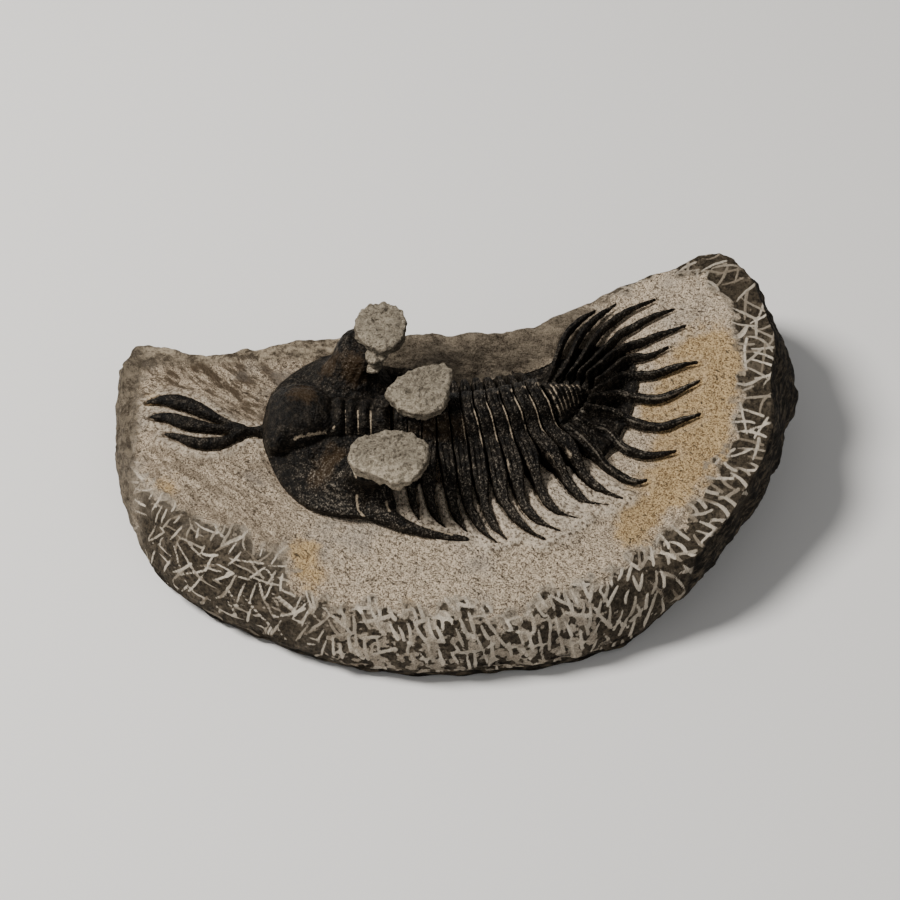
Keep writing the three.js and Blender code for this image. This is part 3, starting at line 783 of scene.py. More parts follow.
def segment_form(number):
    """A ring of the thorax: its lobe in the middle, a plate and a spine on each side."""
    def form(u, c):
        k = segment_place(u)
        far = k > 0
        l0, l, height = segment_line(number, k)
        early = 2 * ease(6.5, 8.5, number)
        spine = ease(9.8 - early, 14 - early, np.abs(l0) + np.where(far, 4.5, 0))
        middle, wide = spine_middle(number, l), spine_width(np.abs(k) / SECTION_STEPS)
        even = THORAX_START + PITCH * number
        own = shift(number, l)
        ahead = even + shift(number - 1, l) / 2 + own / 2 if number else even + own * 0
        behind = even + PITCH - 0.16 + (own + shift(number + 1, l)) / 2
        pleura = ease(4.4, 5.6, np.abs(l))
        ahead = np.where(far, ahead, mix(ahead, np.maximum(ahead, middle - 1.0), pleura))
        behind = np.where(far, behind, mix(behind, np.minimum(behind, middle + 1.0), pleura))
        front = mix(ahead, middle - wide / 2, spine)
        rear = mix(behind, middle + wide / 2, spine)
        top = c < TOP_SHARE
        v = np.where(top, c / TOP_SHARE, 1 - (c - TOP_SHARE) / (1 - TOP_SHARE))
        x, y = place(mix(front, rear, v), l)
        low = floor(x, y)
        lobe = through(v, [0, 0.05, 0.14, 0.3, 0.48, 0.62, 0.74, 0.83, 0.9, 0.95, 1],
                       [-0.5, -0.25, -0.06, 0, -0.12, -0.04, -0.1, -0.36, -0.16, -0.16, -0.45])
        plate = through(v, [0, 0.05, 0.14, 0.26, 0.34, 0.46, 0.58, 0.68, 0.78, 0.92, 1],
                        [-0.55, -0.3, -0.05, -0.12, -0.36, -0.12, -0.05, -0.3, -0.08, -0.1, -0.55])
        blade = -0.75 * np.abs(2 * v - 1) ** 2.6 - 0.2 * hump(v, 0.5, 0.16)
        furrow = -0.18 * hump(np.abs(l), LOBE + 0.1, 1.1)
        knob = 0.5 * hump(l, 0.6, 0.6) * hump(v, 0.8, 0.2) * ease(0, 2, number)
        drop = mix(mix(lobe, plate, pleura), blade, spine) + furrow + knob
        least = low + 0.3 - 0.15 * np.abs(2 * v - 1)
        z = np.where(top, np.maximum(GROUND + height + drop, least), low)
        return x, y, z
    return form


def build_thorax(settings, material):
    blank = tube("segment_blank", SECTION_SIDES, STATIONS // 2, 2)
    for number in range(SEGMENTS):
        name = f"thoracic_segment_{number + 1:02d}"
        mesh = blank.data.copy()
        segment = bpy.data.objects.new("segment_" + name[-2:], mesh)
        bpy.context.scene.collection.objects.link(segment)
        u, c = shape(segment, segment_form(number))
        l = segment_line(number, segment_place(u))[1]
        v = c / TOP_SHARE
        top = (c < TOP_SHARE).astype(float)
        points = read_points(segment) / MM
        on_lobe = ease(-9.5, -7, l) * (1 - ease(-1.2, 0.4, l)) * ease(-9.5, -3.8, l)
        patchy = ease(-0.7, 0.2, rough(points, 1.6, 51, 2))
        wavy = rough(points, 1.3, 52, 2)
        pale = 0.85 * hump(v + 0.04 * wavy, 0.9, 0.06) * on_lobe * patchy
        pale = pale * mix(0.6, 1, ease(3, 5, number))
        flecks = 0.6 * hump(v + 0.1 * wavy, 0.34, 0.04) * hump(l, -8, 2.6) * ease(0.0, 0.5, wavy)
        flecks = np.maximum(flecks, 0.7 * hump(l, -9.3, 1.4) * hump(v, 0.06, 0.1) * patchy)
        knob = hump(l, 0.6, 0.65) * hump(v, 0.82, 0.2) * ease(5, 8, number) * 0.7
        write_masks(
            segment, pale=np.clip((pale + knob + flecks) * top, 0, 1),
            brown=top * hump(l, -3.2, 1.6) * hump(number, 3, 2.2) * 0.8,
            # Paler out along the near spines: partly wear, partly painted sheen on the spines
            grey=top * (0.35 + 0.2 * ease(6, 12, -l)))
        grain(segment, points, settings)
        finish_piece(segment, material, "fossil_shell", name)
    bpy.data.objects.remove(blank)


def grain(piece, points, settings):
    """Raises the shell's fine granules."""
    normals = read_points(piece, "normal")
    depth = settings.grain_depth / MM
    bumps = rough(points, 0.5, 21, 2) + rough(points, 1.5, 22, 2) * 1.4
    write_points(piece, (points + normals * bumps[:, None] * depth) * MM)


# Blades that lie on the stone, such as spines and the fork's prongs

def top_and_side(c):
    """Whether a place round a tube is on its top, and how far across it lies, from -1 to 1."""
    top = c < TOP_SHARE
    return top, np.where(top, 2 * c / TOP_SHARE - 1, 1 - 2 * (c - TOP_SHARE) / (1 - TOP_SHARE))


def blade_form(stations, groove):
    """A blade along stations of x, y, width and height, from root to tip. The groove along it
    is given as a share of its height."""
    table = np.asarray(stations, float)
    runs = lengths_along(table[:, :2])
    runs /= runs[-1]

    def form(u, c):
        px, py = through(u, runs, table[:, 0]), through(u, runs, table[:, 1])
        ahead, behind = np.clip(u + 0.01, 0, 1), np.clip(u - 0.01, 0, 1)
        tx = through(ahead, runs, table[:, 0]) - through(behind, runs, table[:, 0])
        ty = through(ahead, runs, table[:, 1]) - through(behind, runs, table[:, 1])
        length = np.hypot(tx, ty)
        width = np.maximum(through(u, runs, table[:, 2]), 0.1)
        height = np.maximum(through(u, runs, table[:, 3]), 0.3)
        top, side = top_and_side(c)
        x = px - ty / length * side * width / 2
        y = py + tx / length * side * width / 2
        dome = (1 - np.abs(side) ** 2.2) ** 0.6
        dome = dome - groove * hump(side, 0.1, 0.24) * ease(0.02, 0.25, u)
        base = floor(px, py) + PROUD
        z = np.where(top, base + dome * height, base - 0.05)
        return x, y, np.maximum(z, floor(x, y) + 0.1)
    return form


def blade(name, stations, groove, rings=60):
    piece = tube(name, BLADE_SIDES, rings)
    shape(piece, blade_form(stations, groove))
    return piece


def standing_form(centre, loop, cover):
    """A form that stands on the stone: its underside out to the outline, then its cover in to
    the centre. cover gives its height at x and y, and at e of the way out from the centre."""
    def form(u, c):
        ox, oy = around(loop, c)
        under = u < UNDER_SHARE
        over = np.maximum(u - UNDER_SHARE, 0) / (1 - UNDER_SHARE)
        e = np.where(under, u / UNDER_SHARE, np.clip(1 - over**1.25, 0.004, 1))
        x, y = mix(centre[0], ox, e), mix(centre[1], oy, e)
        low = floor(x, y)
        z = np.where(under, low, low + np.maximum(cover(x, y, e), 0.3))
        return x, y, z
    return form


# Pygidium. Each rib runs from the axis, leaves the shield at its point RIB_ROOT and ends free

RIB_ROOT = 3
NEAR_RIBS = [
    [(17.3, -1.3), (19.6, -2.8), (21.7, -4.9), (22.9, -6.3), (24.1, -7.4), (25.3, -8.3),
     (26.5, -8.9), (27.7, -9.2), (29.2, -9.0)],
    [(18.6, 0.6), (21.0, -0.2), (23.2, -0.4), (24.5, -1.3), (25.5, -2.7), (26.8, -3.6),
     (28.2, -4.2), (29.7, -4.6), (31.2, -4.6), (33.8, -4.3)],
    [(19.6, 2.3), (22.2, 2.7), (24.6, 2.7), (26.6, 2.0), (28.4, 1.1), (29.9, 0.6), (31.4, 0.3),
     (32.9, 0.5), (34.4, 0.9), (37.7, 1.5)],
    [(20.4, 3.7), (22.8, 5.2), (25.0, 6.2), (26.7, 6.3), (28.6, 5.9), (30.1, 5.5), (31.6, 5.4),
     (33.1, 5.7), (34.7, 6.3), (37.8, 7.4)],
    [(21.2, 4.9), (23.4, 7.6), (25.4, 9.6), (26.9, 10.3), (28.7, 10.0), (30.2, 9.8), (31.8, 10.0),
     (33.3, 10.4), (34.8, 10.7), (37.7, 10.8)],
]
FAR_RIBS = [
    [(13.4, 7.9), (14.6, 11.4), (15.8, 14.9), (16.7, 16.9), (17.6, 18.4), (18.9, 20.0),
     (20.1, 21.2), (22.2, 22.6)],
    [(15.4, 8.3), (16.9, 11.6), (18.3, 15.0), (19.2, 17.0), (20.3, 18.8), (21.6, 20.5),
     (22.8, 21.7), (25.5, 23.7)],
    [(17.2, 8.6), (19.2, 12.0), (20.8, 15.2), (21.9, 17.2), (23.1, 18.8), (24.5, 20.2),
     (26.1, 21.5), (27.7, 22.4), (31.8, 23.6)],
    [(18.9, 8.6), (21.3, 12.0), (23.4, 14.9), (24.7, 16.6), (25.7, 17.8), (27.1, 18.6),
     (28.5, 19.3), (29.9, 20.0), (34.6, 21.2)],
    [(20.3, 8.3), (22.6, 11.2), (24.8, 13.8), (26.8, 15.4), (29.0, 15.9), (30.6, 16.5),
     (32.1, 16.9), (33.7, 17.3), (36.2, 17.8)],
]
MEDIAN_RIB = [(21.6, 7.0), (24.2, 10.0), (26.2, 12.4), (27.7, 13.3), (28.9, 13.3), (30.1, 13.4),
              (31.2, 13.7), (33.4, 14.4)]
TAIL_ROOTS = [(21.6, -5.6), (24.4, -2.6), (25.9, 0.7), (27.3, 4.4), (28.3, 8.2), (27.9, 12.3),
              (26.6, 14.7), (24.5, 15.9), (21.8, 16.2), (19.2, 15.9), (17.0, 15.0)]
TAIL_CENTRE = (20.4, 5.2)
TAIL_START = THORAX_START + PITCH * SEGMENTS
AXIS_START = TAIL_START + 2 * GAP
AXIS_END = 26.4
AXIS_RUN = AXIS_END - TAIL_START - 2 * GAP
AXIS_RINGS = 8


def tail_outline():
    """The shield's outline in plan: along the last segment, then round the spines' roots."""
    front = []
    for l in (11, 7, 4.5, 2.2, 0, -2.2, -4.5, -6.2):
        front.append(place(TAIL_START + GAP + shift(SEGMENTS - 1, np.array(l)), l))
    return np.array([(float(x), float(y)) for x, y in front + TAIL_ROOTS])


def rib_stations(points, width):
    """Widths and heights along a rib: broad on the shield, narrow where it leaves it."""
    p = np.asarray(points, float)
    along = lengths_along(p)
    past = (along - along[RIB_ROOT]) / (along[-1] - along[RIB_ROOT])
    before = 1 - along / along[RIB_ROOT]
    wide = np.where(past < 0, mix(width, width * 1.25, hump(before, 0.5, 0.4)),
                    width * (1 - np.clip(past, 0, 1) ** 3) + 0.15)
    tall = np.where(past < 0, mix(1.6, 4.9, np.clip(before, 0, 1) ** 0.8),
                    mix(1.6, 0.7, np.clip(past * 1.3, 0, 1)))
    return np.column_stack([p, wide, tall])


def axis_half(t):
    """Half the width of the tail's axis, from its front at t = 0 to its end at 1."""
    return mix(LOBE * 0.95, 0.7, t**0.9)


def tail_axis_form(u, c):
    """The raised and ringed middle of the tail."""
    half = axis_half(u)
    crest = mix(9.0, 4.8, u**1.3) - 1.4 * ease(0.85, 1, u)
    top, side = top_and_side(c)
    s = AXIS_START + AXIS_RUN * u
    s = s + shift(SEGMENTS - 1, side * half) * (1 - u)
    x, y = place(s, side * half)
    wave = np.mod(u * AXIS_RINGS, 1)
    ring = -0.6 * np.maximum(hump(wave, 0, 0.26), hump(wave, 1, 0.26))
    z = np.where(top, floor(x, y) + crest * np.sqrt(np.maximum(1 - side**2 * 0.75, 0)) + ring,
                 floor(x, y) + 2 * PROUD)
    return x, y, z


def nearest_line(x, y, lines):
    """Distance in plan to the nearest of several smooth lines."""
    best = np.full(np.shape(x), NOTHING_NEAR)
    for line in lines:
        p = np.asarray(line, float)
        steps = np.linspace(0, len(p) - 1, 40)
        curve = [through(steps, np.arange(len(p)), p[:, k]) for k in (0, 1)]
        best = np.minimum(best, line_distance(x, y, list(zip(*curve))))
    return best


def tail_cover(x, y, _):
    """Height of the tail's shield over the stone: it carries on from the last segment."""
    s, l = body_place(x, y)
    out = np.abs(l) * np.where(l > 0, 0.65, 1)
    height = through(out, [0, 4.5, 7.8, 10.8, 13.2, 16], [6, 5.0, 4.1, 2.5, 1.3, 0.9])
    height = mix(height, 0.9, np.clip((s - TAIL_START) / 10, 0, 1) ** 1.2)
    return np.minimum(height, 0.9 + 1.7 * line_distance(x, y, TAIL_ROOTS))


def build_pygidium(settings, material):
    shield = tube("tail_shield", 220, 60)
    outline = evenly(joined_up(tail_outline()), 220)
    shape(shield, standing_form(TAIL_CENTRE, outline, tail_cover))
    axis = tube("tail_axis", 40, 90)
    shape(axis, tail_axis_form)
    parts = [shield, axis]
    for name, ribs, width, groove in (("near_rib", NEAR_RIBS, 1.3, 0.3),
                                      ("far_rib", FAR_RIBS, 1.0, 0.2),
                                      ("median_rib", [MEDIAN_RIB], 0.95, 0.15)):
        parts += [blade(name, rib_stations(rib, width), groove, rings=90) for rib in ribs]
    tail = fuse(parts, "pygidium_shell", settings.tail_voxel)
    points = read_points(tail) / MM
    x, y = points.T[:2]
    up = ease(0.0, 0.5, read_points(tail, "normal")[:, 2])
    s, l = body_place(x, y)
    s = s - shift(SEGMENTS - 1, l) * np.clip((AXIS_END - s) / (AXIS_END - TAIL_START), 0, 1)
    t = np.clip((s - AXIS_START) / AXIS_RUN, 0, 1)
    on_axis = 1 - ease(-0.1, 0.5, np.abs(l) - axis_half(t))
    off_rib = nearest_line(x, y, NEAR_RIBS + FAR_RIBS + [MEDIAN_RIB])
    on_ribs = (1 - on_axis) * up
    furrows = 0.2 - 0.7 * ease(0.2, 0.85, off_rib) + 0.16 * hump(off_rib, 0.42, 0.17)
    points[:, 2] += on_ribs * furrows
    wave = np.mod(t * AXIS_RINGS, 1)
    patchy = ease(-0.5, 0.4, rough(points, 1.5, 61, 2))
    rings = hump(wave + 0.06 * rough(points, 1.2, 62), 0.22, 0.16) * on_axis
    rings = rings * ease(-4.9, -3.9, l) * (1 - ease(0.4, 1.6, l))
    # Paler lines along the ribs and on their crests: partly pale dust, partly painted highlight
    # along the rib tops
    lines = 0.8 * hump(off_rib, 0.4, 0.12) * on_ribs * mix(0.6, 1, ease(10, 4, y))
    crests = 0.6 * hump(off_rib, 0.06, 0.12) * on_ribs * ease(13, 10, y) * ease(22, 26, x)
    lines = np.maximum(lines, crests)
    write_masks(
        tail, pale=np.clip(0.8 * rings * mix(0.45, 1, patchy), 0, 1),
        brown=0.45 * hump(l, 0.8, 1.2) * on_axis * patchy,
        grey=np.clip(0.15 + lines * mix(0.5, 1, patchy) + 0.3 * rings, 0, 1) * up)
    grain(tail, points, settings)
    finish_piece(tail, material, "fossil_shell", "pygidium")


# Cephalon

HEAD_CENTRE = (-17.5, -0.6)
HEAD_OUTLINE = [
    (-29.9, -0.4), (-29.3, 4.6), (-28, 8.8), (-25.4, 11.8), (-21.8, 14.4), (-17.3, 15.5),
    (-13, 14.6), (-10, 11.6), (-9.75, 5), (-9.75, -5), (-9.75, -10.5), (-9, -13.6),
    (-9.4, -17), (-13.7, -16.4), (-18.1, -15.9), (-22.5, -14.3), (-25.4, -11.7), (-28.1, -7),
]
HEAD_REAR = -9.75
CHEEK = 6.4
GLABELLA_BASE = 18.5

# The swollen middle of the head, as x, half width and height

GLABELLA = [
    (-29.4, 2.2, 3.2), (-28.9, 4.2, 5.4), (-27.6, 5.7, 7.4), (-25.4, 6.6, 8.8), (-22.8, 6.4, 9.3),
    (-20.6, 5.2, 9.1), (-19.3, 4, 8.4), (-18.9, 3.7, 7.9), (-17.9, 3.6, 8.9), (-17.2, 3.4, 8.6),
    (-16.8, 3.2, 7.9), (-16.0, 3.3, 8.8), (-15.4, 3.2, 8.4), (-14.9, 3.1, 7.8), (-14.1, 3.3, 8.7),
    (-13.4, 3.3, 8.4), (-13.0, 3.3, 7.7), (-12.0, 3.8, 8.9), (-10.6, 3.9, 8.8), (-9.9, 3.8, 7.8),
]

# Foot and top of the near (-1) and the far (1) eye: x, distance across, half length, half
# width and height. The skirt round both feet: the same, its distance across taken both ways

EYE = {-1: (-15.4, -9.6, 4.6, 3.4, 2.4), 1: (-17.4, 9.0, 5.6, 4.6, 2.4)}
EYE_TOP = {-1: (-12.2, -12.0, 3.2, 2.9, 9.6), 1: (-14.2, 12.3, 3.4, 3.6, 9.6)}
SOCLE = (-15.6, 9.6, 8.6, 6.6, 6.4)

# The upright spine on the neck, as x, radius and height, and the blades as stations

OCCIPITAL_SPINE = [(-11.4, 1.4, 21), (-11.2, 1.15, 22.6), (-10.9, 0.9, 23.6)]
NEAR_GENAL = [
    (-12.6, -14.6, 3.2, 2.4), (-9.6, -16.4, 2.8, 2.1), (-6.6, -18.0, 1.9, 1.6),
    (-3.6, -19.0, 1.35, 1.3), (-0.6, -19.6, 1.05, 1.1), (1.0, -19.8, 0.9, 0.9),
    (2.0, -20.0, 0.4, 0.6),
]
FAR_GENAL = [
    (-12.6, 13.4, 4, 2.6), (-9.6, 14.5, 2.4, 2), (-6, 15, 1.7, 1.6), (-1.5, 15.3, 0.3, 0.6),
]
FORK = [
    [(-32.6, 0.9, 1.2, 1.6), (-34.8, 1.8, 1.1, 1.5), (-36.8, 3.0, 1.4, 1.5), (-39.8, 4.9, 2.4, 1.6),
     (-42.8, 6.4, 2.6, 1.5), (-45.8, 7.3, 1.6, 1.1), (-48.3, 7.3, 0.3, 0.5)],
    [(-32.8, 0.6, 1.1, 1.5), (-36.2, 0.9, 1.2, 1.5), (-39.1, 1.5, 1.8, 1.5), (-42.0, 2.4, 2.3, 1.5),
     (-45.1, 3.8, 1.6, 1.1), (-47.6, 4.3, 0.3, 0.5)],
    [(-32.6, 0.3, 1.3, 1.6), (-33.7, -0.3, 1.4, 1.5), (-35.6, -1.4, 1.8, 1.5),
     (-38.4, -1.8, 2.1, 1.5), (-41.8, -0.9, 1.4, 1.2), (-43.2, -0.2, 1.0, 0.9),
     (-45.0, 0.5, 0.3, 0.5)],
    [(-33.2, 0.6, 1.4, 1.6), (-31.4, 0.5, 1.3, 1.6), (-28.6, 0.3, 1.9, 2.4)],
]
HEAD_LINES = {
    "near_furrow": [(-26.2, -5.4), (-23.7, -4.9), (-20.7, -4.3), (-17.2, -3.7), (-10.0, -3.9)],
    "pale_furrow": [(-24.6, -5.0), (-22.6, -4.6), (-20.2, -3.9), (-18.4, -3.3)],
    "socle": [(-21.4, -6.8), (-21.1, -8.0), (-20.4, -9.2), (-18.6, -10.4), (-15.5, -11.2)],
    "suture": [(-14.7, -12.9), (-14.9, -14.2), (-14.7, -15.5), (-13.5, -16.6)],
    "genal": [(-7.7, -16.1), (-6.0, -17.4), (-3.6, -18.6), (-0.6, -19.5)],
    "cheek": [(-10.5, -14.0), (-10.0, -15.9)],
}

# Brown spots of the head: x, y, radius and strength. Pale grooves across it: x and strength

BROWN_SPOTS = [
    (-23.4, 2.4, 2.6, 1), (-18.3, -7, 2.4, 1), (-20.6, -10.5, 2.6, 0.8), (-15.6, 7.6, 2.2, 1),
    (-19.5, 10.0, 2.0, 0.9),
]
PALE_GROOVES = [(-16.8, 0.6), (-14.9, 0.9), (-13.0, 1), (-10.1, 0.5)]


def round_socle(x, y, side):
    """Distance from the middle of an eye's skirt, 1 at its edge."""
    return np.hypot((x - SOCLE[0]) / SOCLE[2], (y - AXIS_Y - side * SOCLE[1]) / SOCLE[3])


def head_form():
    """The head's shield: an arch that swells up round the feet of the eyes."""
    def cover(x, y, e):
        arch = np.maximum(1 - 0.012 * (y - AXIS_Y) ** 2, mix(0.62, 0.25, ease(-16, -11, x)))
        base = mix(1.1, (GROUND + CHEEK - floor(x, y)) * arch, np.sqrt(np.maximum(1 - e**2.6, 0)))
        for side in (-1, 1):
            r = round_socle(x, y, side)
            skirt = SOCLE[4] * np.clip(1 - r, 0, 1) ** 1.25 * (1 + 0.06 * np.sin(r * 42))
            base = np.maximum(base, mix(1.1, 2.6, 1 - e) + skirt * np.clip((1 - e) * 5, 0, 1))
        return base
    return standing_form(HEAD_CENTRE, loop_points(HEAD_OUTLINE, 240), cover)


def glabella_form(u, c):
    """The swollen middle of the head, with its front lobe and the furrows behind."""
    xs, halves, crests = zip(*GLABELLA)
    x = mix(xs[0], xs[-1], u)
    half, crest = through(x, xs, halves), through(x, xs, crests)
    top, side = top_and_side(c)
    near = mix(1, 0.72, ease(-28.5, -25, x) * (1 - ease(-20.5, -18, x)))
    y = AXIS_Y + side * half * np.where(top, 1, 0.9) * np.where(side < 0, near, 1)
    up = np.sqrt(np.maximum(1 - np.abs(side) ** 2.3, 0))
    z = np.where(top, np.maximum(mix(GLABELLA_BASE, GROUND + crest, up), floor(x, y) + 2 * PROUD),
                 floor(x, y) + PROUD)
    return x, y, z


def eye_form(side):
    """A stalked eye, drawn from its foot to its top."""
    def form(u, c):
        x, l, along, across, rise = (mix(a, b, u) for a, b in zip(EYE[side], EYE_TOP[side]))
        angle = 2 * math.pi * c
        girth = 1 - 0.35 * np.sin(math.pi * u) * (1 - u) - 0.25 * ease(0.9, 1, u)
        girth = girth * (1 + 0.35 * (1 - ease(0, 0.6, u)))
        folds = 0.045 * np.cos(angle * 19 + 2 * np.sin(3 * angle)) * hump(u, 0.5, 0.35)
        girth = girth * (1 + folds)
        x = np.minimum(x + along * girth * np.cos(angle), HEAD_REAR + 4 * ease(0.4, 0.9, u))
        return x, AXIS_Y + l + across * girth * np.sin(angle), GROUND + rise
    return form


def spine_form(u, c):
    """The stump of the upright spine on the neck."""
    xs, radii, heights = (through(u, [0, 0.6, 1], row) for row in zip(*OCCIPITAL_SPINE))
    angle = 2 * math.pi * c
    return xs + radii * np.cos(angle), AXIS_Y + radii * np.sin(angle), heights


def build_cephalon(settings, material):
    shield = tube("head_shield", 240, 70)
    shape(shield, head_form())
    lobe = tube("glabella", 60, 60, 2)
    shape(lobe, glabella_form)
    spine = tube("occipital_spine", 24, 12)
    shape(spine, spine_form)
    parts = [shield, lobe, spine]
    for side in (-1, 1):
        stalk = tube("eye", 64, 40)
        shape(stalk, eye_form(side))
        parts.append(stalk)
    parts.append(blade("near_genal_spine", NEAR_GENAL, groove=0.15))
    parts.append(blade("far_genal_spine", FAR_GENAL, groove=0.15))
    parts += [blade("prong", stations, groove=0.05) for stations in FORK]
    head = fuse(parts, "cephalon_shell", settings.head_voxel)
    points = read_points(head) / MM
    x, y, z = points.T
    up = ease(-0.1, 0.4, read_points(head, "normal")[:, 2])
    low = z < GROUND + 10.5

    def on_line(line, width):
        return hump(line_distance(x, y, line), 0, width)

    points[:, 2] -= 0.5 * on_line(HEAD_LINES["socle"], 0.5) * up
    furrow = on_line(HEAD_LINES["near_furrow"], 0.45)
    mirrored = [(a, 2 * AXIS_Y - b) for a, b in HEAD_LINES["near_furrow"]]
    furrow = np.maximum(furrow, on_line(mirrored, 0.45))
    points[:, 2] -= 0.35 * furrow * up * low
    out = round_socle(x, y, -1)
    ridged = hump(np.mod(out * 11 + 0.3 * rough(points, 2, 72), 1), 0.5, 0.24)
    ridged = 0.5 * ridged * ease(-12, -17, x) * ease(-2, -5, y)
    ridged = ridged * ease(0.4, 0.5, out) * ease(1.2, 0.7, out)
    broken_up = ease(-0.6, 0.2, rough(points, 1.2, 71, 2))
    pale = 0.75 * on_line(HEAD_LINES["pale_furrow"], 0.2) * broken_up
    for name in ("suture", "genal", "cheek"):
        line = on_line(HEAD_LINES[name], 0.25) * mix(0.75, 1, broken_up)
        pale = np.maximum(pale, line)
    for groove, share in PALE_GROOVES:
        ends = [(groove + 0.1, AXIS_Y - 2.9), (groove, AXIS_Y - 0.3)]
        pale = np.maximum(pale, share * on_line(ends, 0.15) * low)
    brown = sum(share * spot(x, y, px, py, size) for px, py, size, share in BROWN_SPOTS)
    # Paler on the near cheek and in rings round the near eye: partly rubbed granules, partly
    # painted highlight on the cheek and its ridges
    grey = 0.5 * ease(-4, -8, y) * ease(-26, -22, x) + 0.4 * ridged * broken_up
    grey -= 0.45 * spot(x, y, -24, -0.5, 6)
    write_masks(
        head, pale=pale * up, brown=np.clip(brown, 0, 1) * (z > GROUND + 2),
        grey=np.clip(grey, -0.5, 1) * up * low)
    grain(head, points, settings)
    finish_piece(head, material, "fossil_shell", "cephalon")


# Pads of matrix left on the eyes and the neck

PAD_TOP = 27.0
PAD_THICK = 3.1
PADS = {
    "matrix_on_near_eye": [
        (-16, -12.4), (-14.7, -9.7), (-11.4, -8.4), (-7, -8.4), (-4.4, -10.5), (-4.1, -13.6),
        (-6.2, -16.7), (-8.6, -18.1), (-12.2, -16.3), (-15.4, -14.8)],
    "matrix_on_far_eye": [
        (-15.5, 13), (-14.9, 15.1), (-13, 16.7), (-10.7, 17), (-8.6, 15.7), (-7.6, 12.8),
        (-8.6, 9.2), (-10.7, 7.6), (-13.3, 8.6), (-15.2, 10.7)],
    "matrix_on_occipital_spine": [
        (-10.4, -1.2), (-9.8, 0.6), (-7.8, 2.8), (-4.6, 4.3), (-2, 4.7), (-0.8, 3.6), (-0.9, 0.2),
        (-2, -3.6), (-4.6, -4.8), (-8, -4)],
}
# How strongly each pad's near-left side is painted paler, as painted light
PAD_PAINTED_LIGHT = dict(zip(PADS, (1.0, 0.75, 0.7)))
CRUMB_VOXEL = 0.00016


def pad_form(outline):
    """A flat pad of stone, drawn from the middle of its underside to the middle of its top."""
    loop = loop_points(outline, 120)
    middle = loop.mean(0)
    bottom = PAD_TOP - PAD_THICK
    knots = [0, 0.22, 0.3, 0.48, 0.6, 1]
    heights = [bottom, bottom, bottom + 1, PAD_TOP - 1.1, PAD_TOP - 0.6, PAD_TOP - 0.55]

    def form(u, c):
        ox, oy = around(loop, c)
        scale = through(u, knots, [0.02, 0.86, 0.965, 1, 0.94, 0.02])
        z = through(u, knots, heights)
        return mix(middle[0], ox, scale), mix(middle[1], oy, scale), z
    return form


def crumb_form(u, c):
    """A crumb of stone that hangs from the far eye's pad."""
    angle = 2 * math.pi * c
    radius = through(u, [0, 0.12, 0.45, 0.8, 1], [0.02, 1.0, 1.3, 1.7, 0.02])
    x, y = mix(-12.9, -12.1, u), mix(7.9, 9.2, u)
    return x + radius * np.cos(angle), y + radius * np.sin(angle), mix(20.8, 24.6, u)


def build_pads(settings, material):
    for name, outline in PADS.items():
        pad = tube(name + "_stone", 180, 80)
        shape(pad, pad_form(outline))
        if name == "matrix_on_far_eye":
            crumb = tube("crumb", 40, 24)
            shape(crumb, crumb_form)
            pad = fuse([pad, crumb], name + "_stone", CRUMB_VOXEL, 1)
        points = read_points(pad) / MM
        normals = read_points(pad, "normal")
        side = 1 - np.abs(normals[:, 2])
        crust = rough(points, 0.95, 41, 3) - 0.7 * np.abs(rough(points, 1.3, 43, 2)) + 0.2
        edge = 0.5 * rough(points, 2.2, 44, 4) + 0.4 * crust
        lumps = mix(0.55 * crust, edge, ease(0.3, 0.8, side)) * settings.pad_relief
        moved = points + normals * lumps[:, None]
        moved[:, 2] = np.minimum(moved[:, 2], PAD_TOP)
        write_points(pad, moved * MM)
        middle = points.mean(0)
        # Marks each pad's near-left side, which the material paints paler as painted light
        toward_painted_light = -(0.4 * (points[:, 0] - middle[0]) + 0.92 * (points[:, 1] - middle[1])) / 5
        pale = ease(-0.5, 1.0, toward_painted_light + 0.5 * rough(points, 2, 45, 2)) * PAD_PAINTED_LIGHT[name]
        write_masks(pad, side=side, pale=pale)
        finish_piece(pad, material, "pad_limestone", name)


# Materials

class Wire:
    """A value in a material. Arithmetic on it adds the nodes that work it out."""

    def __init__(self, bench, socket):
        self.bench, self.socket = bench, socket

    def __add__(self, other):
        return self.bench.maths("ADD", self, other)

    def __sub__(self, other):
        return self.bench.maths("SUBTRACT", self, other)

    def __rsub__(self, other):
        return self.bench.maths("SUBTRACT", other, self)

    def __mul__(self, other):
        if self.socket.type == "RGBA":
            return self.bench.scaled(self, other)
        return self.bench.maths("MULTIPLY", self, other)

    __radd__ = __add__
    __rmul__ = __mul__


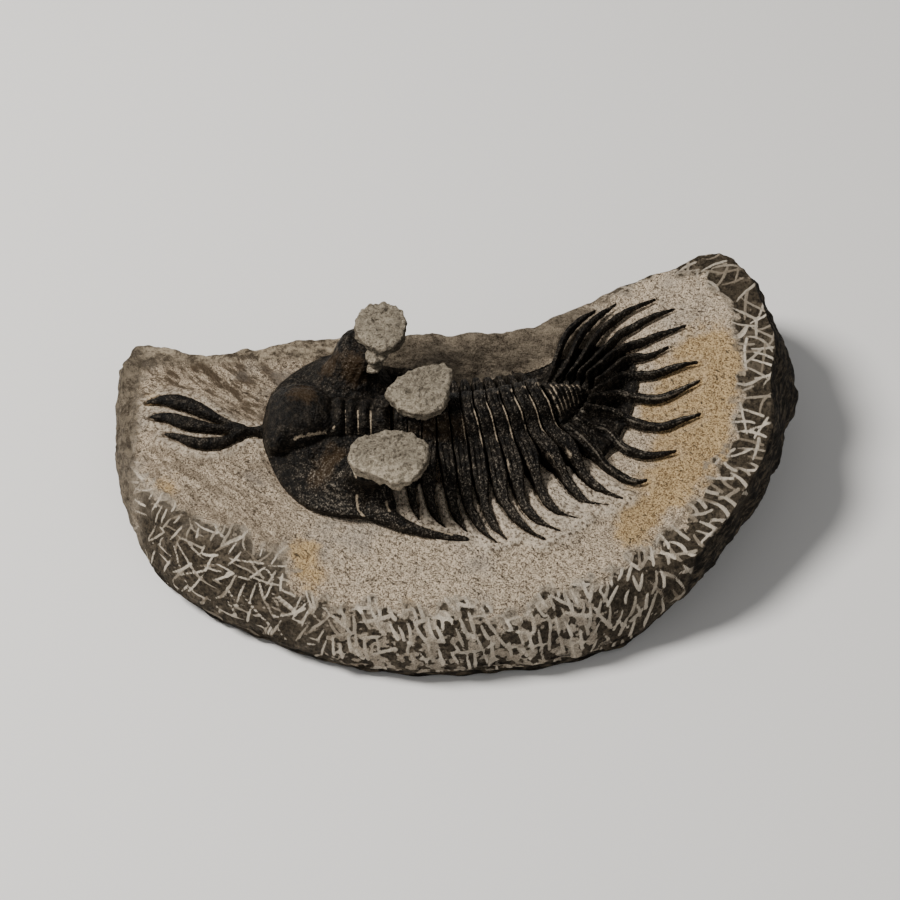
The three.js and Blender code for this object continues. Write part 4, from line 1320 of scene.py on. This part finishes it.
class Bench:
    """Where one material's nodes are laid out."""

    def __init__(self, name):
        self.material = bpy.data.materials.new(name)
        self.material.use_nodes = True
        self.tree = self.material.node_tree
        self.tree.nodes.clear()
        self.places = self.wire(self.node("ShaderNodeTexCoord"), "Object")

    def node(self, kind, settings=None, **sockets):
        """Adds a node: its settings first, then a value or a link for each named socket."""
        node = self.tree.nodes.new(kind)
        for key, value in (settings or {}).items():
            setattr(node, key, value)
        for key, value in sockets.items():
            self.feed(node.inputs[key.replace("_", " ")], value)
        return node

    def feed(self, socket, value):
        """Gives a socket a link, a colour or a number."""
        if isinstance(value, Wire):
            self.tree.links.new(value.socket, socket)
        elif socket.type == "RGBA":
            socket.default_value = (*value[:3], 1)
        else:
            socket.default_value = value

    def wire(self, node, output=0):
        """What a node gives, as a value to reckon with."""
        return Wire(self, node.outputs[output])

    def maths(self, operation, a, b):
        """A number worked out from two others."""
        node = self.node("ShaderNodeMath", {"operation": operation})
        self.feed(node.inputs[0], a)
        self.feed(node.inputs[1], b)
        return self.wire(node)

    def scaled(self, colour, share):
        """A colour made darker or lighter."""
        node = self.node("ShaderNodeVectorMath", {"operation": "SCALE"}, Scale=share)
        self.feed(node.inputs[0], colour)
        return self.wire(node)

    def cracks(self, value, width):
        """1 along the thin winding lines where a noise passes its middle value."""
        return self.band(self.maths("ABSOLUTE", value - 0.5, 0.0), width, width * 0.3)

    def band(self, value, low, high):
        """0 below low, 1 above high, smooth between."""
        return self.wire(self.node(
            "ShaderNodeMapRange", {"interpolation_type": "SMOOTHSTEP"},
            Value=value, From_Min=low, From_Max=high))

    def blend(self, share, first, second):
        """A colour between two others. Of the mixing node, 6, 7 and 2 are for colours."""
        node = self.node("ShaderNodeMix", {"data_type": "RGBA"})
        self.feed(node.inputs["Factor"], share)
        self.feed(node.inputs[6], first)
        self.feed(node.inputs[7], second)
        return self.wire(node, 2)

    def lumps(self, size, detail=3.0, roughness=0.55, stretch=None):
        """Noise whose lumps are size millimetres across, turned and stretched if asked."""
        vector = self.places
        if stretch:
            vector = self.wire(self.node("ShaderNodeMapping", {"vector_type": "TEXTURE"},
                                         Vector=vector, **stretch))
        node = self.node("ShaderNodeTexNoise", None, Vector=vector, Scale=1 / (size * MM),
                         Detail=detail, Roughness=roughness)
        return self.wire(node)

    def cells(self, size):
        """Distance from the middles of grains that are size millimetres across."""
        node = self.node("ShaderNodeTexVoronoi", None, Vector=self.places, Scale=1 / (size * MM))
        return self.wire(node)

    def mask(self, name):
        """Values that write_masks kept on the mesh."""
        return self.wire(self.node("ShaderNodeAttribute", {"attribute_name": name}), "Fac")

    def bump(self, height, distance, strength=1.0):
        """Fine relief, distance millimetres high."""
        node = self.node("ShaderNodeBump", None, Height=height, Distance=distance * MM,
                         Strength=strength)
        return self.wire(node)

    def surface(self, colour, roughness, normal, specular):
        """Ends the material in its shader."""
        shader = self.node("ShaderNodeBsdfPrincipled", None, Base_Color=colour, Normal=normal,
                           Roughness=roughness, Specular_IOR_Level=specular)
        self.node("ShaderNodeOutputMaterial", None, Surface=self.wire(shader))
        return self.material


def slab_stone(s):
    """The slab: mottled dish, rough far rim with painted shade behind the thorax, old skin under
    scribe strokes that carry painted light along the front, broken wall.
    """
    bench = Bench("slab limestone")
    grit, fine = bench.lumps(0.22, 3, 0.8), bench.lumps(0.6, 5, 0.7)
    medium, broad = bench.lumps(2.4, 5, 0.65), bench.lumps(10, 4, 0.6)
    hewn = bench.lumps(0.7, 4, 0.65, {"Rotation": (0, 0, -0.9), "Scale": (2.9, 0.8, 1)})
    streaks = bench.lumps(1.1, 5, 0.75, {"Scale": (2.2, 1.5, 0.7)})
    grain = grit * 0.72 + fine * 0.28
    dish = bench.blend(bench.band(grain, 0.42, 0.54), s.dish_dark_colour, s.dish_colour)
    cuts = bench.band(hewn, 0.49, 0.66) * (0.3 + bench.mask("hewn") * 0.5)
    dish = bench.blend(cuts, dish, s.dish_dark_colour)
    swept = bench.lumps(2.0, 4, 0.6, {"Rotation": (0, 0, -0.7), "Scale": (2.6, 0.8, 1)})
    swept = bench.mask("hewn") * (bench.band(swept, 0.42, 0.6) * 0.7 + 0.3)
    dish = bench.blend(swept, dish, s.dish_dark_colour)
    dish = bench.blend(bench.cracks(medium, 0.018) * 0.25, dish, s.pit_colour)
    dish = bench.blend(bench.band(broad, 0.5, 0.68) * 0.35, dish, s.grey_colour)
    blots = (medium - 0.5) * 1.4 + (bench.lumps(5, 4, 0.6) - 0.5) * 1.2
    tan = bench.blend(bench.band(grain, 0.42, 0.56), s.tan_dark_colour, s.tan_colour)
    dish = bench.blend(bench.band(bench.mask("tan") + blots, 0.3, 0.9) * 0.85, dish, tan)
    bank = bench.blend(bench.band(fine, 0.36, 0.56), s.dish_dark_colour, s.bank_colour)
    dish = bench.blend(bench.band(bench.mask("bank"), 0.3, 0.9) * 0.7, dish, bank)
    specks = bench.band(bench.cells(0.8), 0.26, 0.14) * bench.band(fine + medium, 0.98, 1.1)
    dashes = bench.lumps(0.55, 2, 0.5, {"Rotation": (0, 0, -0.7), "Scale": (1.8, 0.8, 1)})
    specks = specks + bench.band(dashes, 0.6, 0.66) * bench.band(broad, 0.38, 0.5)
    dish = bench.blend(specks * 0.8, dish, s.pit_colour)
    rim = bench.blend(bench.band(streaks, 0.4, 0.62), s.rim_dark_colour, s.rim_colour)
    # Painted shade on the far rim behind the thorax, and the darker stone of the left rim
    rim = bench.blend(bench.mask("shade") * 0.65, rim, s.border_dark_colour)
    on_rim = bench.band(bench.mask("rim") + (medium - 0.5) * 1.2, 0.3, 0.9) * 0.85
    dish = bench.blend(on_rim, dish, rim)
    skin = bench.blend(bench.band(fine, 0.36, 0.64), s.border_dark_colour, s.border_colour)
    # The strokes' tone, which carries painted light along the front, picks between the duller and
    # the brighter stroke colour
    scribed = bench.blend(bench.mask("stroke_tone"), s.stroke_dark_colour, s.stroke_colour)
    scribed = bench.blend(bench.band(grit, 0.42, 0.6), scribed * 0.78, scribed)
    stroke = bench.mask("stroke") + (fine - 0.5) * 0.35 + (grit - 0.5) * 0.25
    skin = bench.blend(bench.band(grit, 0.6, 0.7) * 0.5, skin, s.stroke_dark_colour)
    skin = bench.blend(bench.band(medium, 0.5, 0.66) * 0.35, skin, s.stroke_dark_colour)
    tooled = bench.blend(bench.band(stroke, 0.07, -0.03), skin, scribed)
    border = bench.mask("border") + (bench.lumps(2.6, 2, 0.5) - 0.5) * 9 + (medium - 0.5) * 3
    left = bench.band(bench.mask("left"), 0, 1) * 1.4
    patches = bench.band(bench.lumps(1.7, 2, 0.5) + left * 0.16, 0.45, 0.5)
    kept = bench.band(border + left, 0.4, 1.3) * patches * (1 - bench.mask("rim"))
    kept = kept * (1 - bench.mask("hewn") * (1 - bench.band(border, -1, 4)) * 0.8)
    edge = bench.band(border, -0.6, 0.6) * (1 - bench.mask("rim"))
    colour = bench.blend(edge * 0.35, bench.blend(edge * 0.55, dish, scribed), tooled)
    colour = bench.blend(kept, colour, tooled)
    layers = bench.lumps(1.1, 5, 0.75, {"Scale": (2, 2, 0.8)})
    rock = bench.blend(bench.band(layers, 0.44, 0.7), s.wall_dark_colour, s.wall_colour)
    wall = bench.mask("wall") + (medium - 0.5) * 1.2
    colour = bench.blend(bench.band(wall, 0.0, 0.7), colour, rock)
    normal = bench.bump(grit * 0.6 + fine * 0.8 + hewn * 0.7 + medium * 0.5, 0.55)
    return bench.surface(colour, 0.9, normal, 0.15)


def shell_stone(s):
    """The animal: near-black and finely granular, with stone left in its furrows and paler rubbed
    granules, which also serve as painted glints and sheen.
    """
    bench = Bench("fossil shell")
    fine, medium, broad = bench.lumps(0.26, 3, 0.75), bench.lumps(1.1, 5, 0.7), bench.lumps(5, 3)
    granules = bench.cells(0.42)
    colour = bench.blend(bench.band(medium, 0.4, 0.66), s.shell_dark_colour, s.shell_colour)
    brown = bench.mask("brown") + (medium - 0.5) * 1.4 + bench.band(broad, 0.5, 0.7) * 0.3
    colour = bench.blend(bench.band(brown, 0.3, 0.9) * 0.75, colour, s.brown_colour)
    # Paler specks: rubbed granules, and painted glints in place of a shinier surface; the mask adds
    # broader wear and painted sheen
    wear_and_glints = bench.band(fine + medium * 0.5, 0.8, 0.93) * (0.34 + bench.mask("grey") * 0.6)
    wear_and_glints = wear_and_glints + bench.band(bench.mask("grey") + (fine - 0.5) * 0.8, 0.5, 0.85) * 0.55
    colour = bench.blend(wear_and_glints, colour, s.shell_grey_colour)
    pale = bench.band(bench.mask("pale") + (fine - 0.5) * 0.8 + (medium - 0.5) * 0.7, 0.38, 0.72)
    colour = bench.blend(pale * 0.85, colour, s.furrow_colour)
    gloss = 0.34 + fine * 0.25 + pale * 0.35
    normal = bench.bump(granules * -0.9 + fine * 0.8 + medium * 0.6, 0.2)
    return bench.surface(colour, gloss, normal, 0.1)


def pad_stone(s):
    """The pads: pale stone picked flat, with pits and darker sides, and painted light on each pad's
    near-left side.
    """
    bench = Bench("pad limestone")
    grit, fine = bench.lumps(0.25, 3, 0.75), bench.lumps(0.6, 5, 0.7)
    medium = bench.lumps(1.2, 5, 0.65, {"Rotation": (0, 0, 0.15), "Scale": (2.2, 0.9, 1)})
    grain = bench.band(grit * 0.4 + fine * 0.6, 0.32, 0.56)
    colour = bench.blend(grain, s.pad_dark_colour, s.pad_colour)
    colour = bench.blend(bench.band(medium, 0.5, 0.64) * 0.5, colour, s.pad_dark_colour)
    colour = bench.blend(bench.cracks(medium, 0.03) * 0.35, colour, s.pad_pit_colour)
    pale = bench.band(bench.mask("pale") + (medium - 0.5) * 0.8, 0.4, 0.9)
    # Lit and shaded copies of one colour: the marked near-left side painted lighter as painted
    # light, the rest darker as painted shade
    colour = bench.blend(pale, colour * 0.82, colour * 1.3)
    specks = bench.band(bench.cells(0.7), 0.28, 0.14) * bench.band(fine + medium, 0.98, 1.1)
    colour = bench.blend(specks * 0.8, colour, s.pad_pit_colour)
    side = bench.band(bench.mask("side") + (fine - 0.5) * 0.8, 0.5, 0.95)
    colour = bench.blend(side * 0.6, colour, s.pad_pit_colour)
    normal = bench.bump(grit * 0.4 + fine * 1.2 + medium * 1.6, 1.2)
    return bench.surface(colour, 0.92, normal, 0.15)


# Settings

def length(name, text, default):
    """A setting that holds a length in metres."""
    return bpy.props.FloatProperty(name=name, description=text, default=default, min=0,
                                   unit="LENGTH", precision=5)


def paint(name, text, red, green, blue):
    """A colour from the 0 to 255 values that a picture shows."""
    linear = [((v / 255 + 0.055) / 1.055) ** 2.4 if v > 10 else v / 3294.6
              for v in (red, green, blue)]
    return bpy.props.FloatVectorProperty(name=name, description=text, default=linear,
                                         subtype="COLOR", size=3, min=0, max=1)


class SlabSettings(bpy.types.PropertyGroup):
    stroke_count: bpy.props.IntProperty(
        name="Strokes", description="Scribe strokes over the tooled edge", default=1500, min=0)
    stroke_width: bpy.props.FloatProperty(
        name="Stroke width", description="How broad the strokes are cut", default=1.0, min=0)
    stroke_relief: length("Stroke relief", "How far a stroke stands up", 0.00008)
    dish_colour: paint("Dish", "Smooth stone round the animal", 236, 215, 187)
    dish_dark_colour: paint("Dish, darker", "Duller grains of the dish", 84, 71, 56)
    tan_colour: paint("Tan", "Rusty parts of the dish", 218, 185, 132)
    tan_dark_colour: paint("Tan, darker", "Duller grains of the rusty parts", 108, 84, 54)
    pit_colour: paint("Pits", "Specks and pits", 70, 60, 48)
    grey_colour: paint("Cool parts", "Cooler stone of the dish", 150, 145, 138)
    bank_colour: paint("Banks", "Fresh stone left beside the animal", 226, 210, 188)
    rim_colour: paint("Far rim", "Rough stone along the far side", 176, 161, 138)
    rim_dark_colour: paint("Far rim, darker", "Hollows of the far rim", 62, 53, 42)
    border_colour: paint("Tooled edge", "Old skin of the stone between the strokes", 78, 69, 56)
    border_dark_colour: paint("Tooled edge, darker", "Hollows of the old skin", 40, 34, 26)
    stroke_colour: paint("Strokes", "Bruised stone in a stroke", 236, 223, 203)
    stroke_dark_colour: paint("Strokes, darker", "Duller strokes", 136, 123, 105)
    wall_colour: paint("Broken wall", "Weathered stone of the right end", 104, 93, 77)
    wall_dark_colour: paint("Broken wall, darker", "Hollows of the broken stone", 24, 20, 15)


class ShellSettings(bpy.types.PropertyGroup):
    head_voxel: length("Head detail", "Size of the head's faces", 0.0002)
    tail_voxel: length("Tail detail", "Size of the tail's faces", 0.00017)
    grain_depth: length("Grain", "Height of the shell's granules", 0.00007)
    shell_colour: paint("Shell", "The shell's own colour", 32, 27, 21)
    shell_dark_colour: paint("Shell, darkest", "Hollows of the shell", 10, 8, 6)
    # Rubbed granules, also used as painted glints and sheen
    shell_grey_colour: paint("Shell, greyest", "Rubbed granules", 132, 123, 110)
    brown_colour: paint("Shell, brown", "Worn brown parts", 52, 39, 24)
    furrow_colour: paint("Furrows", "Stone left in the furrows", 168, 152, 130)


class PadSettings(bpy.types.PropertyGroup):
    pad_relief: bpy.props.FloatProperty(
        name="Relief", description="How rough the pads are", default=1.0, min=0)
    pad_colour: paint("Pads", "Stone of the pads", 208, 194, 171)
    pad_dark_colour: paint("Pads, darker", "Duller parts of the pads", 88, 79, 64)
    pad_pit_colour: paint("Pits", "Specks and pits of the pads", 70, 60, 47)


class StageSettings(bpy.types.PropertyGroup):
    floor_colour: paint("Floor", "The plain floor", 236, 234, 231)
    key_power: bpy.props.FloatProperty(
        name="Key light", description="Power of the light from the upper left", default=6.2,
        min=0, unit="POWER")
    fill_power: bpy.props.FloatProperty(
        name="Fill light", description="Power of the wide light from the front", default=0.9,
        min=0, unit="POWER")
    focal_length: bpy.props.FloatProperty(
        name="Lens", description="The camera's focal length", default=110, min=10,
        subtype="DISTANCE_CAMERA")


# Stage

def turned_to(place_from, target):
    """The turn that points a light from its place at a target."""
    return (Vector(target) - Vector(place_from)).to_track_quat("-Z", "Y").to_euler()


def add_light(name, location, size, power, colour):
    deselect()
    bpy.ops.object.light_add(type="AREA", location=location,
                             rotation=turned_to(location, (0, 0, 0.015)))
    light = bpy.context.object
    light.name = name
    light.data.shape = "DISK"
    light.data.size = size
    light.data.energy = power
    light.data.color = colour


def build_stage(s):
    deselect()
    bpy.ops.mesh.primitive_plane_add(size=3, location=(0, 0.4, -0.0002))
    ground_plane = bpy.context.object
    ground_plane.name = "floor"
    bpy.ops.object.transform_apply(location=True)
    bench = Bench("plain floor")
    duller = tuple(v * 0.97 for v in s.floor_colour)
    shade = bench.blend(bench.lumps(120, 2), tuple(s.floor_colour), duller)
    normal = bench.bump(bench.lumps(2), 0.01, 0.1)
    ground_plane.data.materials.append(bench.surface(shade, 0.7, normal, 0.3))
    add_light("key", (-0.38, 0.02, 0.54), 0.2, s.key_power, (1.0, 0.98, 0.95))
    add_light("fill", (0.3, -0.55, 0.6), 0.9, s.fill_power, (0.96, 0.98, 1.0))
    world = bpy.data.worlds.new("studio")
    world.use_nodes = True
    background = world.node_tree.nodes["Background"]
    background.inputs["Color"].default_value = (1.0, 1.0, 1.0, 1)
    background.inputs["Strength"].default_value = 0.22
    bpy.context.scene.world = world
    deselect()
    bpy.ops.object.camera_add(location=CAMERA_PLACE, rotation=(math.radians(CAMERA_TILT), 0, 0))
    camera = bpy.context.object
    camera.data.lens = s.focal_length
    camera.data.sensor_width = 36
    camera.data.clip_start = 0.01
    bpy.context.scene.camera = camera


# Operators

class TRILOBITE_OT_slab(bpy.types.Operator):
    """Models the slab of stone with its dish, tooled edge and broken wall."""
    bl_idname = "trilobite.slab"
    bl_label = "Slab"

    def execute(self, context):
        settings = context.scene.trilobite_slab
        build_slab(settings, slab_stone(settings))
        return {"FINISHED"}


class TRILOBITE_OT_animal(bpy.types.Operator):
    """Models the head, the eleven segments and the tail."""
    bl_idname = "trilobite.animal"
    bl_label = "Animal"

    def execute(self, context):
        settings = context.scene.trilobite_shell
        material = shell_stone(settings)
        build_cephalon(settings, material)
        build_thorax(settings, material)
        build_pygidium(settings, material)
        return {"FINISHED"}


class TRILOBITE_OT_pads(bpy.types.Operator):
    """Models the three pads of stone left on the eyes and the neck."""
    bl_idname = "trilobite.pads"
    bl_label = "Pads of matrix"

    def execute(self, context):
        settings = context.scene.trilobite_pads
        build_pads(settings, pad_stone(settings))
        return {"FINISHED"}


class TRILOBITE_OT_stage(bpy.types.Operator):
    """Sets up the floor, the lights and the camera."""
    bl_idname = "trilobite.stage"
    bl_label = "Stage"

    def execute(self, context):
        build_stage(context.scene.trilobite_stage)
        return {"FINISHED"}


class TRILOBITE_PT_panel(bpy.types.Panel):
    """Lists the pieces in the sidebar."""
    bl_idname = "TRILOBITE_PT_panel"
    bl_label = "Prepared trilobite"
    bl_space_type = "VIEW_3D"
    bl_region_type = "UI"
    bl_category = "Trilobite"

    def draw(self, context):
        for operator in OPERATORS:
            self.layout.operator(operator.bl_idname)
        for group in SETTINGS:
            settings = getattr(context.scene, group)
            for name in settings.bl_rna.properties.keys():
                if name not in ("rna_type", "name"):
                    self.layout.prop(settings, name)


OPERATORS = (TRILOBITE_OT_slab, TRILOBITE_OT_animal, TRILOBITE_OT_pads, TRILOBITE_OT_stage)
SETTINGS = {
    "trilobite_slab": SlabSettings, "trilobite_shell": ShellSettings,
    "trilobite_pads": PadSettings, "trilobite_stage": StageSettings,
}


def register():
    for cls in (*SETTINGS.values(), *OPERATORS, TRILOBITE_PT_panel):
        bpy.utils.register_class(cls)
    for name, group in SETTINGS.items():
        setattr(bpy.types.Scene, name, bpy.props.PointerProperty(type=group))


def unregister():
    for name in SETTINGS:
        delattr(bpy.types.Scene, name)
    for cls in (TRILOBITE_PT_panel, *reversed(OPERATORS), *SETTINGS.values()):
        bpy.utils.unregister_class(cls)


def clear_defaults():
    """Takes out what a new Blender file holds."""
    for name in ("Cube", "Light", "Camera"):
        if name in bpy.data.objects:
            bpy.data.objects.remove(bpy.data.objects[name])


def main():
    register()
    clear_defaults()
    bpy.ops.trilobite.slab()
    bpy.ops.trilobite.animal()
    bpy.ops.trilobite.pads()
    bpy.ops.trilobite.stage()


if __name__ == "__main__":
    main()
